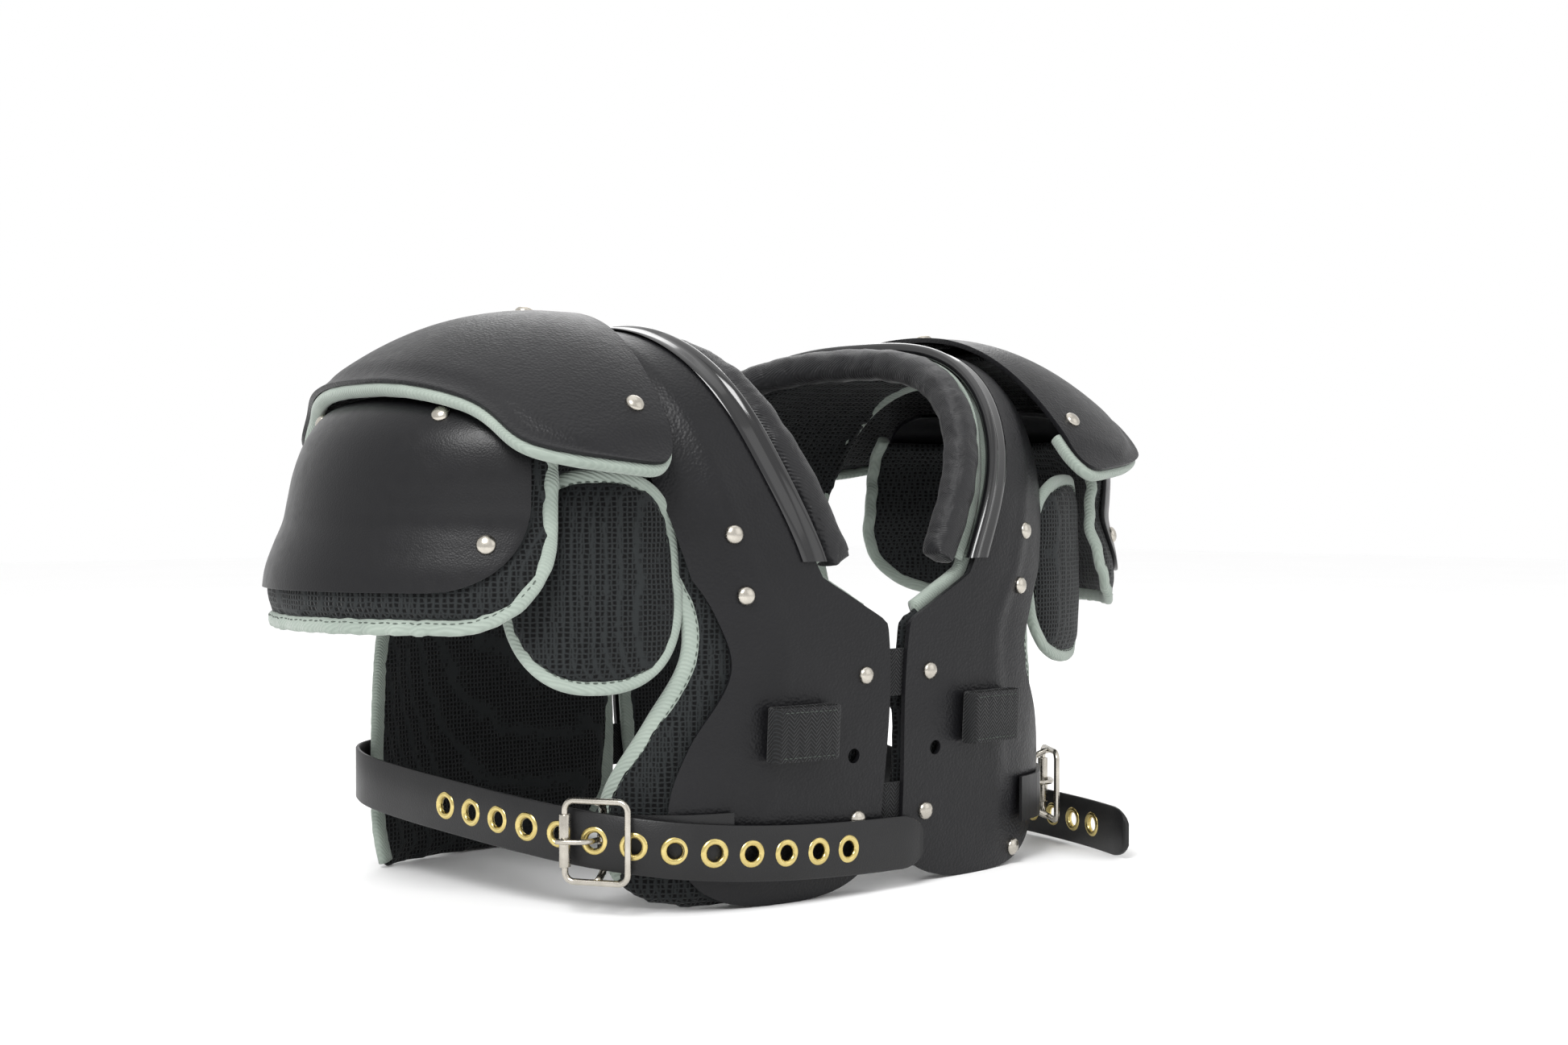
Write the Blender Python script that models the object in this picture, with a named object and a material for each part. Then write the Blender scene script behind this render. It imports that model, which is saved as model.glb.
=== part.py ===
"""Shoulder pads for a contact sport, as an assembly of shells, pads, straps and buckles.

The wearer faces -Y, the wearer's left is +X and +Z is up. The pads stand on z = 0.
Sizes are in metres. Every side piece is made for +X and mirrored by the sign of its side.
"""

import math

import bmesh
import bpy
from mathutils import Matrix, Vector

# Torso: the inner face of the arch shells.
FRONT_HALF_WIDTH = 0.168
FRONT_HALF_DEPTH = 0.134
BACK_HALF_WIDTH = 0.215
BACK_HALF_DEPTH = 0.137
FRONT_POWER = 3.5
BACK_POWER = 4.5
SIDE_POWER = 2.7
SPRING_Z = 0.170
CROWN_RISE = 0.130
CROWN_X = 0.105
CROWN_FALL = 2.8
FOOT_LEAN = 0.08

# Wall thicknesses and clearances.
SHELL_WALL = 0.003
SEAT_GAP = 0.0003
PAD_DROP = 0.003
PAD_THICK = 0.009
PAD_GAP = 0.0008
LINK_THICK = 0.002
WEB_THICK = 0.0018

# Epaulets and cups.
EPAULET_INNER_X = 0.135
EPAULET_REACH = 0.116
EPAULET_HALF_LENGTH = 0.140
EPAULET_TOP_Z = 0.309
EPAULET_TIP_DROP = 0.088
EPAULET_EDGE_DROP = 0.043
EPAULET_SHOULDER_X = 0.150
EPAULET_WALL = 0.0025
EPAULET_PAD_THICK = 0.007
EPAULET_AXIS_X = 0.132
EPAULET_AXIS_Z = 0.3037
CUP_CENTRE_X = 0.165
CUP_REACH = 0.107
CUP_HALF_LENGTH = 0.116
CUP_WALL = 0.0025
CUP_PAD_CLEARANCE = 0.0014
CUP_FLARE = 0.0160
CUP_FLARE_TOP = 0.2520
CUP_LOW = 0.1650
CUP_CORNER_HIGH = 0.044
CUP_CORNER_ANGLE = math.radians(27)
CUP_PAD_THICK = 0.008
CUP_PAD_OVERHANG = 0.016
CUP_AXIS_X = 0.1600
CUP_AXIS_Z = 0.2970
HINGE_HALF_WIDTH = 0.015

# Belts and buckles.
BELT_WIDTH = 0.0286
BELT_THICK = 0.0024
EYELET_PITCH = 0.0207
EYELET_BORE_R = 0.0035
BUCKLE_LENGTH = 0.034
BUCKLE_HEIGHT = 0.041
BUCKLE_WIRE_R = 0.0017
BUCKLE_BAR_R = 0.0018
ROLLER_WALL = 0.001
ROLLER_LENGTH = 0.027
TONGUE_WIRE_R = 0.0014
LOOP_WALL = 0.0012

# Rivets.
RIVET_HEAD_R = 0.005
RIVET_HEAD_H = 0.0022
RIVET_SHANK_R = 0.0018

SIDES = (("right", -1), ("left", 1))
# The free belt reaches further forward than the back plates reach back, so all moves by half of that.
CENTRING_Y = 0.0082

# Lateral edges of the arch shell along its path: (path value, x). The path value runs from
# 0 at the front hem to 1 at the spring line, 2 at the rear spring line and 3 at the back hem.
SHELL_INNER = (
    (0.0, 0.054), (0.06, 0.030), (0.14, 0.010), (0.20, 0.008), (0.84, 0.008), (0.91, 0.026),
    (1.00, 0.054), (1.04, 0.062), (1.17, 0.087), (1.34, 0.104), (1.50, 0.101), (1.64, 0.087),
    (1.73, 0.068), (1.82, 0.036), (1.88, 0.012), (1.94, 0.008), (2.80, 0.008), (3.0, 0.030),
)
SHELL_OUTER = (
    (0.0, 0.094), (0.06, 0.112), (0.16, 0.127), (0.32, 0.134), (0.50, 0.126), (0.72, 0.107),
    (0.90, 0.116), (1.05, 0.132), (1.20, 0.148), (1.50, 0.156), (1.80, 0.160), (2.00, 0.160),
    (2.30, 0.150), (2.70, 0.150), (2.90, 0.138), (3.0, 0.116),
)
FRONT_PAD_OUTER = (
    (0.0, 0.138), (0.05, 0.150), (0.18, 0.160), (0.36, 0.160), (0.56, 0.146), (0.74, 0.131),
    (0.88, 0.130), (1.02, 0.140), (1.18, 0.154), (1.47, 0.161),
)
BACK_PAD_OUTER = (
    (1.53, 0.162), (1.80, 0.168), (2.00, 0.170), (2.30, 0.182), (2.60, 0.188), (2.85, 0.190),
    (3.0, 0.184),
)
# Cup profile: (height, share of the full reach).
CUP_PROFILE = (
    (0.165, 1.0), (0.185, 0.975), (0.205, 0.962), (0.225, 0.962), (0.243, 0.93), (0.254, 0.86),
    (0.2605, 0.74), (0.2650, 0.56), (0.2670, 0.34),
)


def smooth(table, at):
    """The value at a place along (place, value) pairs, by cubic Hermite pieces."""
    if at <= table[0][0]:
        return table[0][1]
    if at >= table[-1][0]:
        return table[-1][1]
    i = max(k for k in range(len(table) - 1) if table[k][0] <= at)

    def slope(k):
        low = table[max(k - 1, 0)]
        high = table[min(k + 1, len(table) - 1)]
        return (high[1] - low[1]) / (high[0] - low[0])

    (a, va), (b, vb) = table[i], table[i + 1]
    w = b - a
    u = (at - a) / w
    start = (1 + 2 * u) * (1 - u) ** 2 * va + u * (1 - u) ** 2 * w * slope(i)
    end = u * u * (3 - 2 * u) * vb + u * u * (u - 1) * w * slope(i + 1)
    return start + end


def smooth_path(points, count):
    """Evenly spaced points on a smooth curve through hand-chosen ones."""
    knots = [0.0]
    for a, b in zip(points, points[1:]):
        knots.append(knots[-1] + (Vector(b) - Vector(a)).length)
    tables = [[(s, p[axis]) for s, p in zip(knots, points)] for axis in range(3)]
    steps = [knots[-1] * k / (count - 1) for k in range(count)]
    return [Vector(smooth(table, s) for table in tables) for s in steps]


def half_depth(x, back):
    """How far the torso section reaches forward or back at a lateral distance."""
    width = BACK_HALF_WIDTH if back else FRONT_HALF_WIDTH
    depth = BACK_HALF_DEPTH if back else FRONT_HALF_DEPTH
    power = BACK_POWER if back else FRONT_POWER
    ratio = min(abs(x) / width, 0.99)
    return depth * (1 - ratio**power) ** (1 / power)


def torso(x, t):
    """The point of the torso surface at a lateral distance and a path value."""
    if t < 1:
        lean = 1 - FOOT_LEAN * (1 - t) ** 2
        return Vector((x, -half_depth(x, False) * lean, SPRING_Z * t))
    if t > 2:
        lean = 1 - FOOT_LEAN * (t - 2) ** 2
        return Vector((x, half_depth(x, True) * lean, SPRING_Z * (3 - t)))
    angle = (t - 1) * math.pi
    c, s = math.cos(angle), math.sin(angle)
    reach = (abs(c) ** SIDE_POWER + abs(s) ** SIDE_POWER) ** (-1 / SIDE_POWER)
    rise = CROWN_RISE - CROWN_FALL * max(0.0, abs(x) - CROWN_X) ** 2
    behind = max(0.0, 2 * t - 3)
    behind *= behind * (3 - 2 * behind)
    depth = half_depth(x, False) * (1 - behind) + half_depth(x, True) * behind
    return Vector((x, -depth * c * reach, SPRING_Z + rise * s * reach))


def torso_normal(x, t):
    """The outward unit normal of the torso surface."""
    e = 0.002
    low, high = max(t - 0.01, 0.0), min(t + 0.01, 3.0)
    across = torso(x + e, t) - torso(x - e, t)
    along = torso(x, high) - torso(x, low)
    return across.cross(along).normalized()


def off_torso(x, t, lift):
    """A point that lies off the torso surface, kept level at the hems."""
    normal = torso_normal(x, t)
    if t < 0.3 or t > 2.7:
        normal = Vector((normal.x, normal.y, 0)).normalized()
    return torso(x, t) + normal * lift


def material(name, colour, roughness, metallic=0.0):
    """One Principled material."""
    made = bpy.data.materials.get(name) or bpy.data.materials.new(name)
    made.use_nodes = True
    shader = made.node_tree.nodes["Principled BSDF"]
    shader.inputs["Base Color"].default_value = (*colour, 1)
    shader.inputs["Roughness"].default_value = roughness
    shader.inputs["Metallic"].default_value = metallic
    return made


FINISHES = {
    "shell": ((0.018, 0.018, 0.020), 0.42, 0.0),
    "trim": ((0.012, 0.012, 0.013), 0.12, 0.0),
    "mesh": ((0.010, 0.012, 0.013), 0.85, 0.0),
    "bound": ((0.32, 0.37, 0.34), 0.80, 0.0),
    "web": ((0.012, 0.013, 0.014), 0.80, 0.0),
    "belt": ((0.022, 0.022, 0.023), 0.50, 0.0),
    "steel": ((0.60, 0.58, 0.55), 0.25, 1.0),
}


def add_object(name, mesh, finish, origin=(0, 0, 0)):
    """Link a mesh, in world coordinates, as an object whose origin is the given point."""
    mesh.materials.append(material(f"{name}_{finish}", *FINISHES[finish]))
    mesh.shade_smooth()
    mesh.set_sharp_from_angle(angle=math.radians(40))
    mesh.transform(Matrix.Translation(-Vector(origin)))
    made = bpy.data.objects.new(name, mesh)
    made.location = origin
    bpy.context.scene.collection.objects.link(made)
    return made


def closed_mesh(name, points, faces):
    """A mesh with its faces turned outwards."""
    mesh = bpy.data.meshes.new(name)
    mesh.from_pydata([tuple(p) for p in points], [], faces)
    work = bmesh.new()
    work.from_mesh(mesh)
    bmesh.ops.recalc_face_normals(work, faces=work.faces)
    if work.calc_volume(signed=True) < 0:
        bmesh.ops.reverse_faces(work, faces=work.faces)
    work.to_mesh(mesh)
    work.free()
    return mesh


def slab(name, outer, inner):
    """A closed wall between two grids of points of the same size."""
    rows, columns = len(outer), len(outer[0])
    points = [p for row in outer for p in row] + [p for row in inner for p in row]
    back = rows * columns
    faces = []
    for r in range(rows - 1):
        for c in range(columns - 1):
            a = r * columns + c
            quad = (a, a + 1, a + columns + 1, a + columns)
            faces.append(quad)
            faces.append(tuple(back + k for k in reversed(quad)))
    rim = [c for c in range(columns)]
    rim += [r * columns + columns - 1 for r in range(1, rows)]
    rim += [(rows - 1) * columns + c for c in range(columns - 2, -1, -1)]
    rim += [r * columns for r in range(rows - 2, 0, -1)]
    for a, b in zip(rim, rim[1:] + rim[:1]):
        faces.append((b, a, back + a, back + b))
    return closed_mesh(name, points, faces)


def tube(name, path, radius, sides=10, bore=0.0):
    """A round bar along a path, or a sleeve when it has a bore."""
    rings = []
    up = Vector((0, 0, 1))
    for k, p in enumerate(path):
        ahead = path[min(k + 1, len(path) - 1)] - path[max(k - 1, 0)]
        ahead.normalize()
        side = ahead.cross(up)
        if side.length < 0.2:
            side = ahead.cross(Vector((1, 0.3, 0)))
        side.normalize()
        other = ahead.cross(side)
        rings.append((p, side, other))
    points = []
    for r in (radius, bore) if bore else (radius,):
        for p, side, other in rings:
            for k in range(sides):
                a = 2 * math.pi * k / sides
                points.append(p + side * r * math.cos(a) + other * r * math.sin(a))
    faces = []
    count = len(path)
    for layer in range(2 if bore else 1):
        base = layer * count * sides
        for r in range(count - 1):
            for k in range(sides):
                a, b = base + r * sides + k, base + r * sides + (k + 1) % sides
                faces.append((a, b, b + sides, a + sides))
    if bore:
        for r in (0, count - 1):
            for k in range(sides):
                a, b = r * sides + k, r * sides + (k + 1) % sides
                faces.append((a, b, b + count * sides, a + count * sides))
    else:
        faces.append(tuple(range(sides)))
        faces.append(tuple((count - 1) * sides + k for k in range(sides)))
    return closed_mesh(name, points, faces)


def turned(name, profile, place, axis, sides=14):
    """A closed solid of revolution from (radius, height) pairs, on an axis at a place."""
    turn = Vector((0, 0, 1)).rotation_difference(axis).to_matrix()
    points = []
    for r, h in profile:
        for k in range(sides):
            a = 2 * math.pi * k / sides
            points.append(turn @ Vector((r * math.cos(a), r * math.sin(a), h)) + place)
    faces = []
    for row in range(len(profile) - 1):
        for k in range(sides):
            a, b = row * sides + k, row * sides + (k + 1) % sides
            faces.append((a, b, b + sides, a + sides))
    faces.append(tuple(range(sides)))
    faces.append(tuple((len(profile) - 1) * sides + k for k in range(sides)))
    return closed_mesh(name, points, faces)


def mirror(point, sign):
    """A point made for +X, on the given side."""
    return Vector((point.x * sign, point.y, point.z))


def flipped(grid, sign):
    """A grid of points on the given side."""
    return [[mirror(p, sign) for p in row] for row in grid]


def join(target, others, operation="UNION"):
    """Apply exact Booleans to a mesh object and delete the helpers."""
    for other in others:
        step = target.modifiers.new(operation.lower(), "BOOLEAN")
        step.operation = operation
        step.solver = "EXACT"
        step.object = other
        with bpy.context.temp_override(object=target, active_object=target):
            bpy.ops.object.modifier_apply(modifier=step.name)
        bpy.data.objects.remove(other)


def helper(name, mesh):
    """A cutter or a piece to be joined."""
    made = bpy.data.objects.new(name, mesh)
    made.hide_render = True
    made.display_type = "WIRE"
    bpy.context.scene.collection.objects.link(made)
    return made


def spaced(start, end, count):
    """Evenly spaced numbers, both ends included."""
    return [start + (end - start) * k / (count - 1) for k in range(count)]


def torso_wall(name, sign, inner, outer, path, columns, lift, thick):
    """A wall that follows the torso between two lateral edges, over a list of path values."""
    faces = []
    for height in (lift + thick, lift):
        grid = []
        for t in path:
            low, high = inner(t), outer(t)
            grid.append([off_torso(low + (high - low) * v, t, height) for v in columns])
        faces.append(flipped(grid, sign))
    return slab(name, faces[0], faces[1])


def eased(count):
    """Shares from 0 to 1, closer together at both ends."""
    return [0.5 - 0.5 * math.cos(math.pi * k / (count - 1)) for k in range(count)]


# ---------------------------------------------------------------- rivets


def rivet(name, place, axis, shank, origin=None):
    """A domed rivet: its head sits on a wall and its shank passes through."""
    head = [(RIVET_HEAD_R * math.cos(a), RIVET_HEAD_H * math.sin(a)) for a in spaced(1.25, 0, 4)]
    seat = SEAT_GAP
    profile = [(RIVET_SHANK_R, -shank), (RIVET_SHANK_R, seat), (RIVET_HEAD_R, seat)]
    profile += [(r, h + seat + 0.0002) for r, h in reversed(head)]
    return add_object(name, turned(name, profile, place, axis, 12), "steel", origin or place)


def rivet_hole(place, axis, reach):
    """The cutter of a rivet's hole."""
    radius = RIVET_SHANK_R + SEAT_GAP
    profile = [(radius, -reach), (radius, reach)]
    return helper("rivet_cutter", turned("rivet_cutter", profile, place, axis, 12))


# Rivets through the arch shell: (name, x, path value). The last one also holds the front link.
SHELL_RIVETS = (
    ("chest_rivet_upper", 0.106, 1.055),
    ("chest_rivet_lower", 0.100, 0.95),
    ("link_rivet", 0.0235, 0.69),
)
ARCH_TOP_RIVET_X = 0.1190


def shell_point(x, t, sign):
    """A point on the arch shell's outer face, and the outward normal there."""
    place = mirror(off_torso(x, t, SHELL_WALL), sign)
    return place, mirror(torso_normal(x, t), sign)


# Path values, in hundredths, at which every wall on the torso has its rows of points.
FRONT_ROWS = (0, 4, 9, 15, 22, 32, 42, 52, 62, 72, 80, 86, 92, 97)
TOP_ROWS = (102, 107, 112, 118, 125, 133, 142, 150, 158, 167, 175, 182, 188, 193)
BACK_ROWS = (200, 212, 225, 240, 255, 268, 278, 286, 293, 300)


def rows_between(start, end):
    """The shared path values from start to end."""
    rows = [t / 100 for t in FRONT_ROWS + TOP_ROWS + BACK_ROWS]
    return [t for t in rows if start <= t <= end]


def build_arch(side, sign):
    """The one-piece arch: chest plate, shoulder bridge and back plate."""
    path = rows_between(0, 3)
    name = f"arch_shell_{side}"
    mesh = torso_wall(
        name, sign, lambda t: smooth(SHELL_INNER, t), lambda t: smooth(SHELL_OUTER, t),
        path, eased(9), 0.0, SHELL_WALL,
    )
    shell = add_object(name, mesh, "shell")
    cutters = []
    for rivet_name, x, t in SHELL_RIVETS:
        place, normal = shell_point(x, t, sign)
        cutters.append(rivet_hole(place, normal, 0.008))
        rivet(f"{rivet_name}_{side}", place, normal, SHELL_WALL + LINK_THICK * 0.6)
    place, normal = shell_point(ARCH_TOP_RIVET_X, 1.5, sign)
    cutters.append(rivet_hole(place, normal, 0.008))
    place, normal = shell_point(0.030, 0.44, sign)
    eyelet = turned("lace_hole", [(0.004, -0.008), (0.004, 0.008)], place, normal, 12)
    cutters.append(helper("lace_hole", eyelet))
    join(shell, cutters, "DIFFERENCE")


def build_neck_trim(side, sign):
    """The glossy channel that caps the neckline, with its rolled lip inboard of the edge."""
    path = rows_between(1.02, 1.82)
    lips = ((-0.006, 0.0036), (-0.0035, 0.0066), (0.0, 0.0058), (0.004, 0.0052), (0.009, 0.0050))
    unders = ((-0.006, 0.0006), (-0.0035, -0.0006), (-0.0008, 0.0006), (-0.0008, 0.0036), (0.009, 0.0036))
    grids = []
    for profile in (lips, unders):
        grid = []
        for t in path:
            edge = smooth(SHELL_INNER, t)
            grid.append([off_torso(edge + x, t, lift) for x, lift in profile])
        grids.append(flipped(grid, sign))
    name = f"neck_trim_{side}"
    add_object(name, slab(name, grids[0], grids[1]), "trim")


def build_body_pads(side, sign):
    """The padded liners under the chest plate and the back plate."""
    path = rows_between(0, 1.42) + [1.47]
    name = f"front_body_pad_{side}"
    mesh = torso_wall(
        name, sign, lambda t: smooth(SHELL_INNER, t) - 0.003,
        lambda t: smooth(FRONT_PAD_OUTER, t), path, eased(9), -PAD_DROP - PAD_THICK, PAD_THICK,
    )
    add_object(name, mesh, "mesh")
    path = [1.53] + rows_between(1.58, 3)
    name = f"back_body_pad_{side}"
    mesh = torso_wall(
        name, sign, lambda t: smooth(SHELL_INNER, t) - 0.003,
        lambda t: smooth(BACK_PAD_OUTER, t), path, eased(10), -PAD_DROP - PAD_THICK, PAD_THICK,
    )
    add_object(name, mesh, "mesh")


def build_links():
    """The webbing straps that tie the two arches together at the front and at the back."""
    half_width = 0.034
    for name, centre in (
        ("front_link_upper", 0.69), ("front_link_lower", 0.26),
        ("back_link_upper", 2.20), ("back_link_lower", 2.68),
    ):
        columns = spaced(-half_width, half_width, 9)
        grids = []
        for lift in (-SEAT_GAP, -SEAT_GAP - LINK_THICK):
            grids.append([
                [off_torso(x, t, lift) for x in columns]
                for t in spaced(centre - 0.075, centre + 0.075, 3)
            ])
        link = add_object(name, slab(name, grids[0], grids[1]), "web")
        if name == "front_link_upper":
            holes = []
            for _, sign in SIDES:
                place, normal = shell_point(SHELL_RIVETS[2][1], SHELL_RIVETS[2][2], sign)
                holes.append(rivet_hole(place, normal, 0.012))
            join(link, holes, "DIFFERENCE")


COLLAR_ROUTE = (
    # (path value, x), from the front V to the back centre
    (1.02, 0.038), (1.10, 0.055), (1.20, 0.073), (1.34, 0.086), (1.50, 0.083), (1.62, 0.070),
    (1.70, 0.052), (1.75, 0.028), (1.77, 0.0),
)
COLLAR_R = 0.0124


def build_collar():
    """The padded neck roll that lines the neck opening, one piece round the back."""
    half = [off_torso(x, t, -0.0074) for t, x in COLLAR_ROUTE]
    points = [mirror(p, -1) for p in half] + list(reversed(half))[1:]
    path = smooth_path(points, 41)
    add_object("collar_roll", tube("collar_roll", path, COLLAR_R, 10), "mesh")


# ---------------------------------------------------------------- epaulets


def epaulet_point(x, y, lift):
    """A point off the epaulet's underside, measured along its normal."""

    def height(px, py):
        along = abs(py) / EPAULET_HALF_LENGTH
        beyond = max(0.0, px - EPAULET_SHOULDER_X) / 0.105
        return EPAULET_TOP_Z - EPAULET_TIP_DROP * along**2.5 - EPAULET_EDGE_DROP * beyond**2

    e = 0.001
    slope_x = (height(x + e, y) - height(x - e, y)) / (2 * e)
    slope_y = (height(x, y + e) - height(x, y - e)) / (2 * e)
    normal = Vector((-slope_x, -slope_y, 1)).normalized()
    return Vector((x, y, height(x, y))) + normal * lift


def epaulet_outer_x(y):
    """The outer edge of the epaulet in plan."""
    share = min(abs(y) / EPAULET_HALF_LENGTH, 0.995)
    return EPAULET_INNER_X + EPAULET_REACH * (1 - share**2.4) ** 0.5


def epaulet_inner_x(y):
    """The inner edge of the epaulet in plan: the lobes at both tips stand further out."""
    return EPAULET_INNER_X + 0.014 * (abs(y) / 0.13) ** 2


def build_epaulet(side, sign):
    """The shoulder flap, its bound pad and the leaf of its hinge."""
    origin = Vector((EPAULET_AXIS_X * sign, 0, EPAULET_AXIS_Z))
    ys = [EPAULET_HALF_LENGTH * 0.968 * math.sin(a) for a in spaced(-math.pi / 2, math.pi / 2, 21)]
    grids = []
    for lift in (EPAULET_WALL, 0.0):
        grid = []
        for y in ys:
            low, high = epaulet_inner_x(y), epaulet_outer_x(y)
            grid.append([epaulet_point(low + (high - low) * v, y, lift) for v in eased(10)])
        grids.append(flipped(grid, sign))
    name = f"epaulet_shell_{side}"
    shell = add_object(name, slab(name, grids[0], grids[1]), "shell", origin)
    grids = []
    for lift in (-PAD_GAP, -PAD_GAP - EPAULET_PAD_THICK):
        grid = []
        for y in ys:
            share = (abs(y) / 0.13) ** 2
            low = max(epaulet_inner_x(y) + 0.003, 0.172 - 0.030 * share)
            high = epaulet_outer_x(y) + 0.002
            grid.append([epaulet_point(low + (high - low) * v, y, lift) for v in eased(9)])
        grids.append(flipped(grid, sign))
    name = f"epaulet_pad_{side}"
    pad = add_object(name, slab(name, grids[0], grids[1]), "bound", origin)
    cutters, pad_cutters = [], []
    for rivet_name, x, y in (("epaulet_rivet", 0.160, -0.114), ("epaulet_hinge_rivet", 0.150, 0.0)):
        place = mirror(epaulet_point(x, y, EPAULET_WALL), sign)
        above = mirror(epaulet_point(x, y, EPAULET_WALL + 0.01), sign)
        axis = (above - place).normalized()
        cutters.append(rivet_hole(place, axis, 0.006))
        if y:
            pad_cutters.append(rivet_hole(place, axis, 0.016))
        rivet(f"{rivet_name}_{side}", place, axis, EPAULET_WALL + LINK_THICK, origin)
    join(shell, cutters, "DIFFERENCE")
    join(pad, pad_cutters, "DIFFERENCE")
    # The hinge is one web strap: its base is riveted to the arch, its leaf to the epaulet.
    columns = spaced(-HINGE_HALF_WIDTH, HINGE_HALF_WIDTH, 5)
    leaf = [
        [Vector((EPAULET_AXIS_X + run, y, EPAULET_AXIS_Z + rise)) for y in columns]
        for run, rise in ((SEAT_GAP, 0.0), (0.0040, 0.0026))
    ]
    leaf += [[epaulet_point(x, y, -PAD_GAP) for y in columns] for x in (0.1400, 0.1460, 0.1520, 0.1580)]
    under = [[p - Vector((0, 0, WEB_THICK)) for p in row] for row in leaf]
    name = f"epaulet_hinge_leaf_{side}"
    hinge_leaf = add_object(name, slab(name, flipped(leaf, sign), flipped(under, sign)), "web", origin)
    place = mirror(epaulet_point(0.150, 0.0, EPAULET_WALL), sign)
    join(hinge_leaf, [rivet_hole(place, Vector((0, 0, 1)), 0.006)], "DIFFERENCE")
    seat = SEAT_GAP + SHELL_WALL
    base = [
        [off_torso(x, 1.5 + y / 0.42, seat + WEB_THICK) for y in columns]
        for x in spaced(0.1128, EPAULET_AXIS_X - 4 * SEAT_GAP, 4)
    ]
    under = [
        [off_torso(x, 1.5 + y / 0.42, seat) for y in columns]
        for x in spaced(0.1128, EPAULET_AXIS_X - 4 * SEAT_GAP, 4)
    ]
    name = f"epaulet_hinge_base_{side}"
    base_strap = add_object(name, slab(name, flipped(base, sign), flipped(under, sign)), "web")
    place, normal = shell_point(ARCH_TOP_RIVET_X, 1.5, sign)
    join(base_strap, [rivet_hole(place, normal, 0.006)], "DIFFERENCE")
    head = place + normal * (WEB_THICK + SEAT_GAP)
    rivet(f"arch_top_rivet_{side}", head, normal, SHELL_WALL + WEB_THICK + SEAT_GAP)


# ---------------------------------------------------------------- cups


def cup_flare(angle, z):
    """How far the cup's lower part stands out, most at the outside and the back."""
    fall = min(1.0, max(0.0, (CUP_FLARE_TOP - z) / (CUP_FLARE_TOP - CUP_LOW)))
    turn = min(1.0, max(0.0, (angle + 1.0) / 1.3))
    return CUP_FLARE * fall * fall * (3 - 2 * fall) * turn * turn * (3 - 2 * turn)


def cup_span(z, low, half_angle):
    """Half of the angle that the cup spans at a height, with its lower corners rounded."""
    share = 1 - min(1.0, max(0.0, z - low) / CUP_CORNER_HIGH)
    return half_angle - CUP_CORNER_ANGLE * (1 - math.sqrt(1 - share * share))


def cup_point(angle, z, share, lift):
    """A point off the cup's outer face; lift is measured outwards from its centre line."""
    off = lift + cup_flare(angle, z)
    reach, length = CUP_REACH * share + off, CUP_HALF_LENGTH * share + off
    return Vector((CUP_CENTRE_X + reach * math.cos(angle), length * math.sin(angle), z))


def cup_grid(profile, half_angle, columns, lift, drop):
    """A grid over the cup. Lift and drop shift the face outwards and down."""
    rows = []
    for z, share in profile:
        steep = max(0.0, (z - 0.240) / 0.028)
        span = cup_span(z, profile[0][0], half_angle)
        rows.append([
            cup_point(a, z + drop * min(1.0, steep), share, lift)
            for a in spaced(-span, span, columns)
        ])
    return rows


def build_cup(side, sign):
    """The shoulder cup, its bound pad and the leaf of its hinge."""
    origin = Vector((CUP_AXIS_X * sign, 0, CUP_AXIS_Z))
    heights = (0.165, 0.174, 0.185, 0.205, 0.225, 0.236, 0.245, 0.252, 0.2575, 0.2615, 0.2645, 0.267)
    shares = [(z, smooth(CUP_PROFILE, z)) for z in heights]
    half_angle = math.radians(64)
    outer = cup_grid(shares, half_angle, 15, 0.0, 0.0)
    inner = cup_grid(shares, half_angle, 15, -CUP_WALL, -CUP_WALL)
    name = f"cup_shell_{side}"
    shell = add_object(name, slab(name, flipped(outer, sign), flipped(inner, sign)), "shell", origin)
    low = 0.165 - CUP_PAD_OVERHANG
    pad_shares = [(low, 1.02), (0.157, 1.01)] + shares[:-2]
    gap = CUP_WALL + SEAT_GAP + CUP_PAD_CLEARANCE
    wide = math.radians(68)
    outer = cup_grid(pad_shares, wide, 15, -gap - 0.0003, -gap - 0.0003)
    inner = cup_grid(pad_shares, wide, 15, -gap - CUP_PAD_THICK, -gap - CUP_PAD_THICK)
    name = f"cup_pad_{side}"
    pad = add_object(name, slab(name, flipped(outer, sign), flipped(inner, sign)), "bound", origin)
    angle, z = math.radians(-52), 0.188
    share = smooth(CUP_PROFILE, z)
    place = mirror(cup_point(angle, z, share, SEAT_GAP), sign)
    axis = (mirror(cup_point(angle, z, share, 0.01), sign) - place).normalized()
    join(shell, [rivet_hole(place, axis, 0.006)], "DIFFERENCE")
    join(pad, [rivet_hole(place, axis, 0.016)], "DIFFERENCE")
    rivet(f"cup_rivet_{side}", place, axis, CUP_WALL + 0.004, origin)
    # The cup hangs from a web strap: its base lies on the arch, its leaf over the cup's crown.
    columns = spaced(-HINGE_HALF_WIDTH, HINGE_HALF_WIDTH, 3)
    seat = SEAT_GAP + SHELL_WALL
    grids = []
    for lift in (seat + WEB_THICK, seat):
        grids.append([
            [off_torso(x, 1.5 + y / 0.42, lift) for y in columns]
            for x in spaced(0.134, CUP_AXIS_X - WEB_THICK, 4)
        ])
    name = f"cup_hinge_base_{side}"
    add_object(name, slab(name, flipped(grids[0], sign), flipped(grids[1], sign)), "web")
    line = [(CUP_AXIS_X + SEAT_GAP, CUP_AXIS_Z)]
    line += [(0.168, 0.2905), (0.178, 0.2820), (0.190, 0.2732), (0.203, 0.2693), (0.217, 0.2679)]
    leaf = [[Vector((x * sign, y, z)) for y in columns] for x, z in line]
    under = [[p - Vector((0, 0, WEB_THICK)) for p in row] for row in leaf]
    name = f"cup_hinge_leaf_{side}"
    add_object(name, slab(name, leaf, under), "web", origin)


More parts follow.
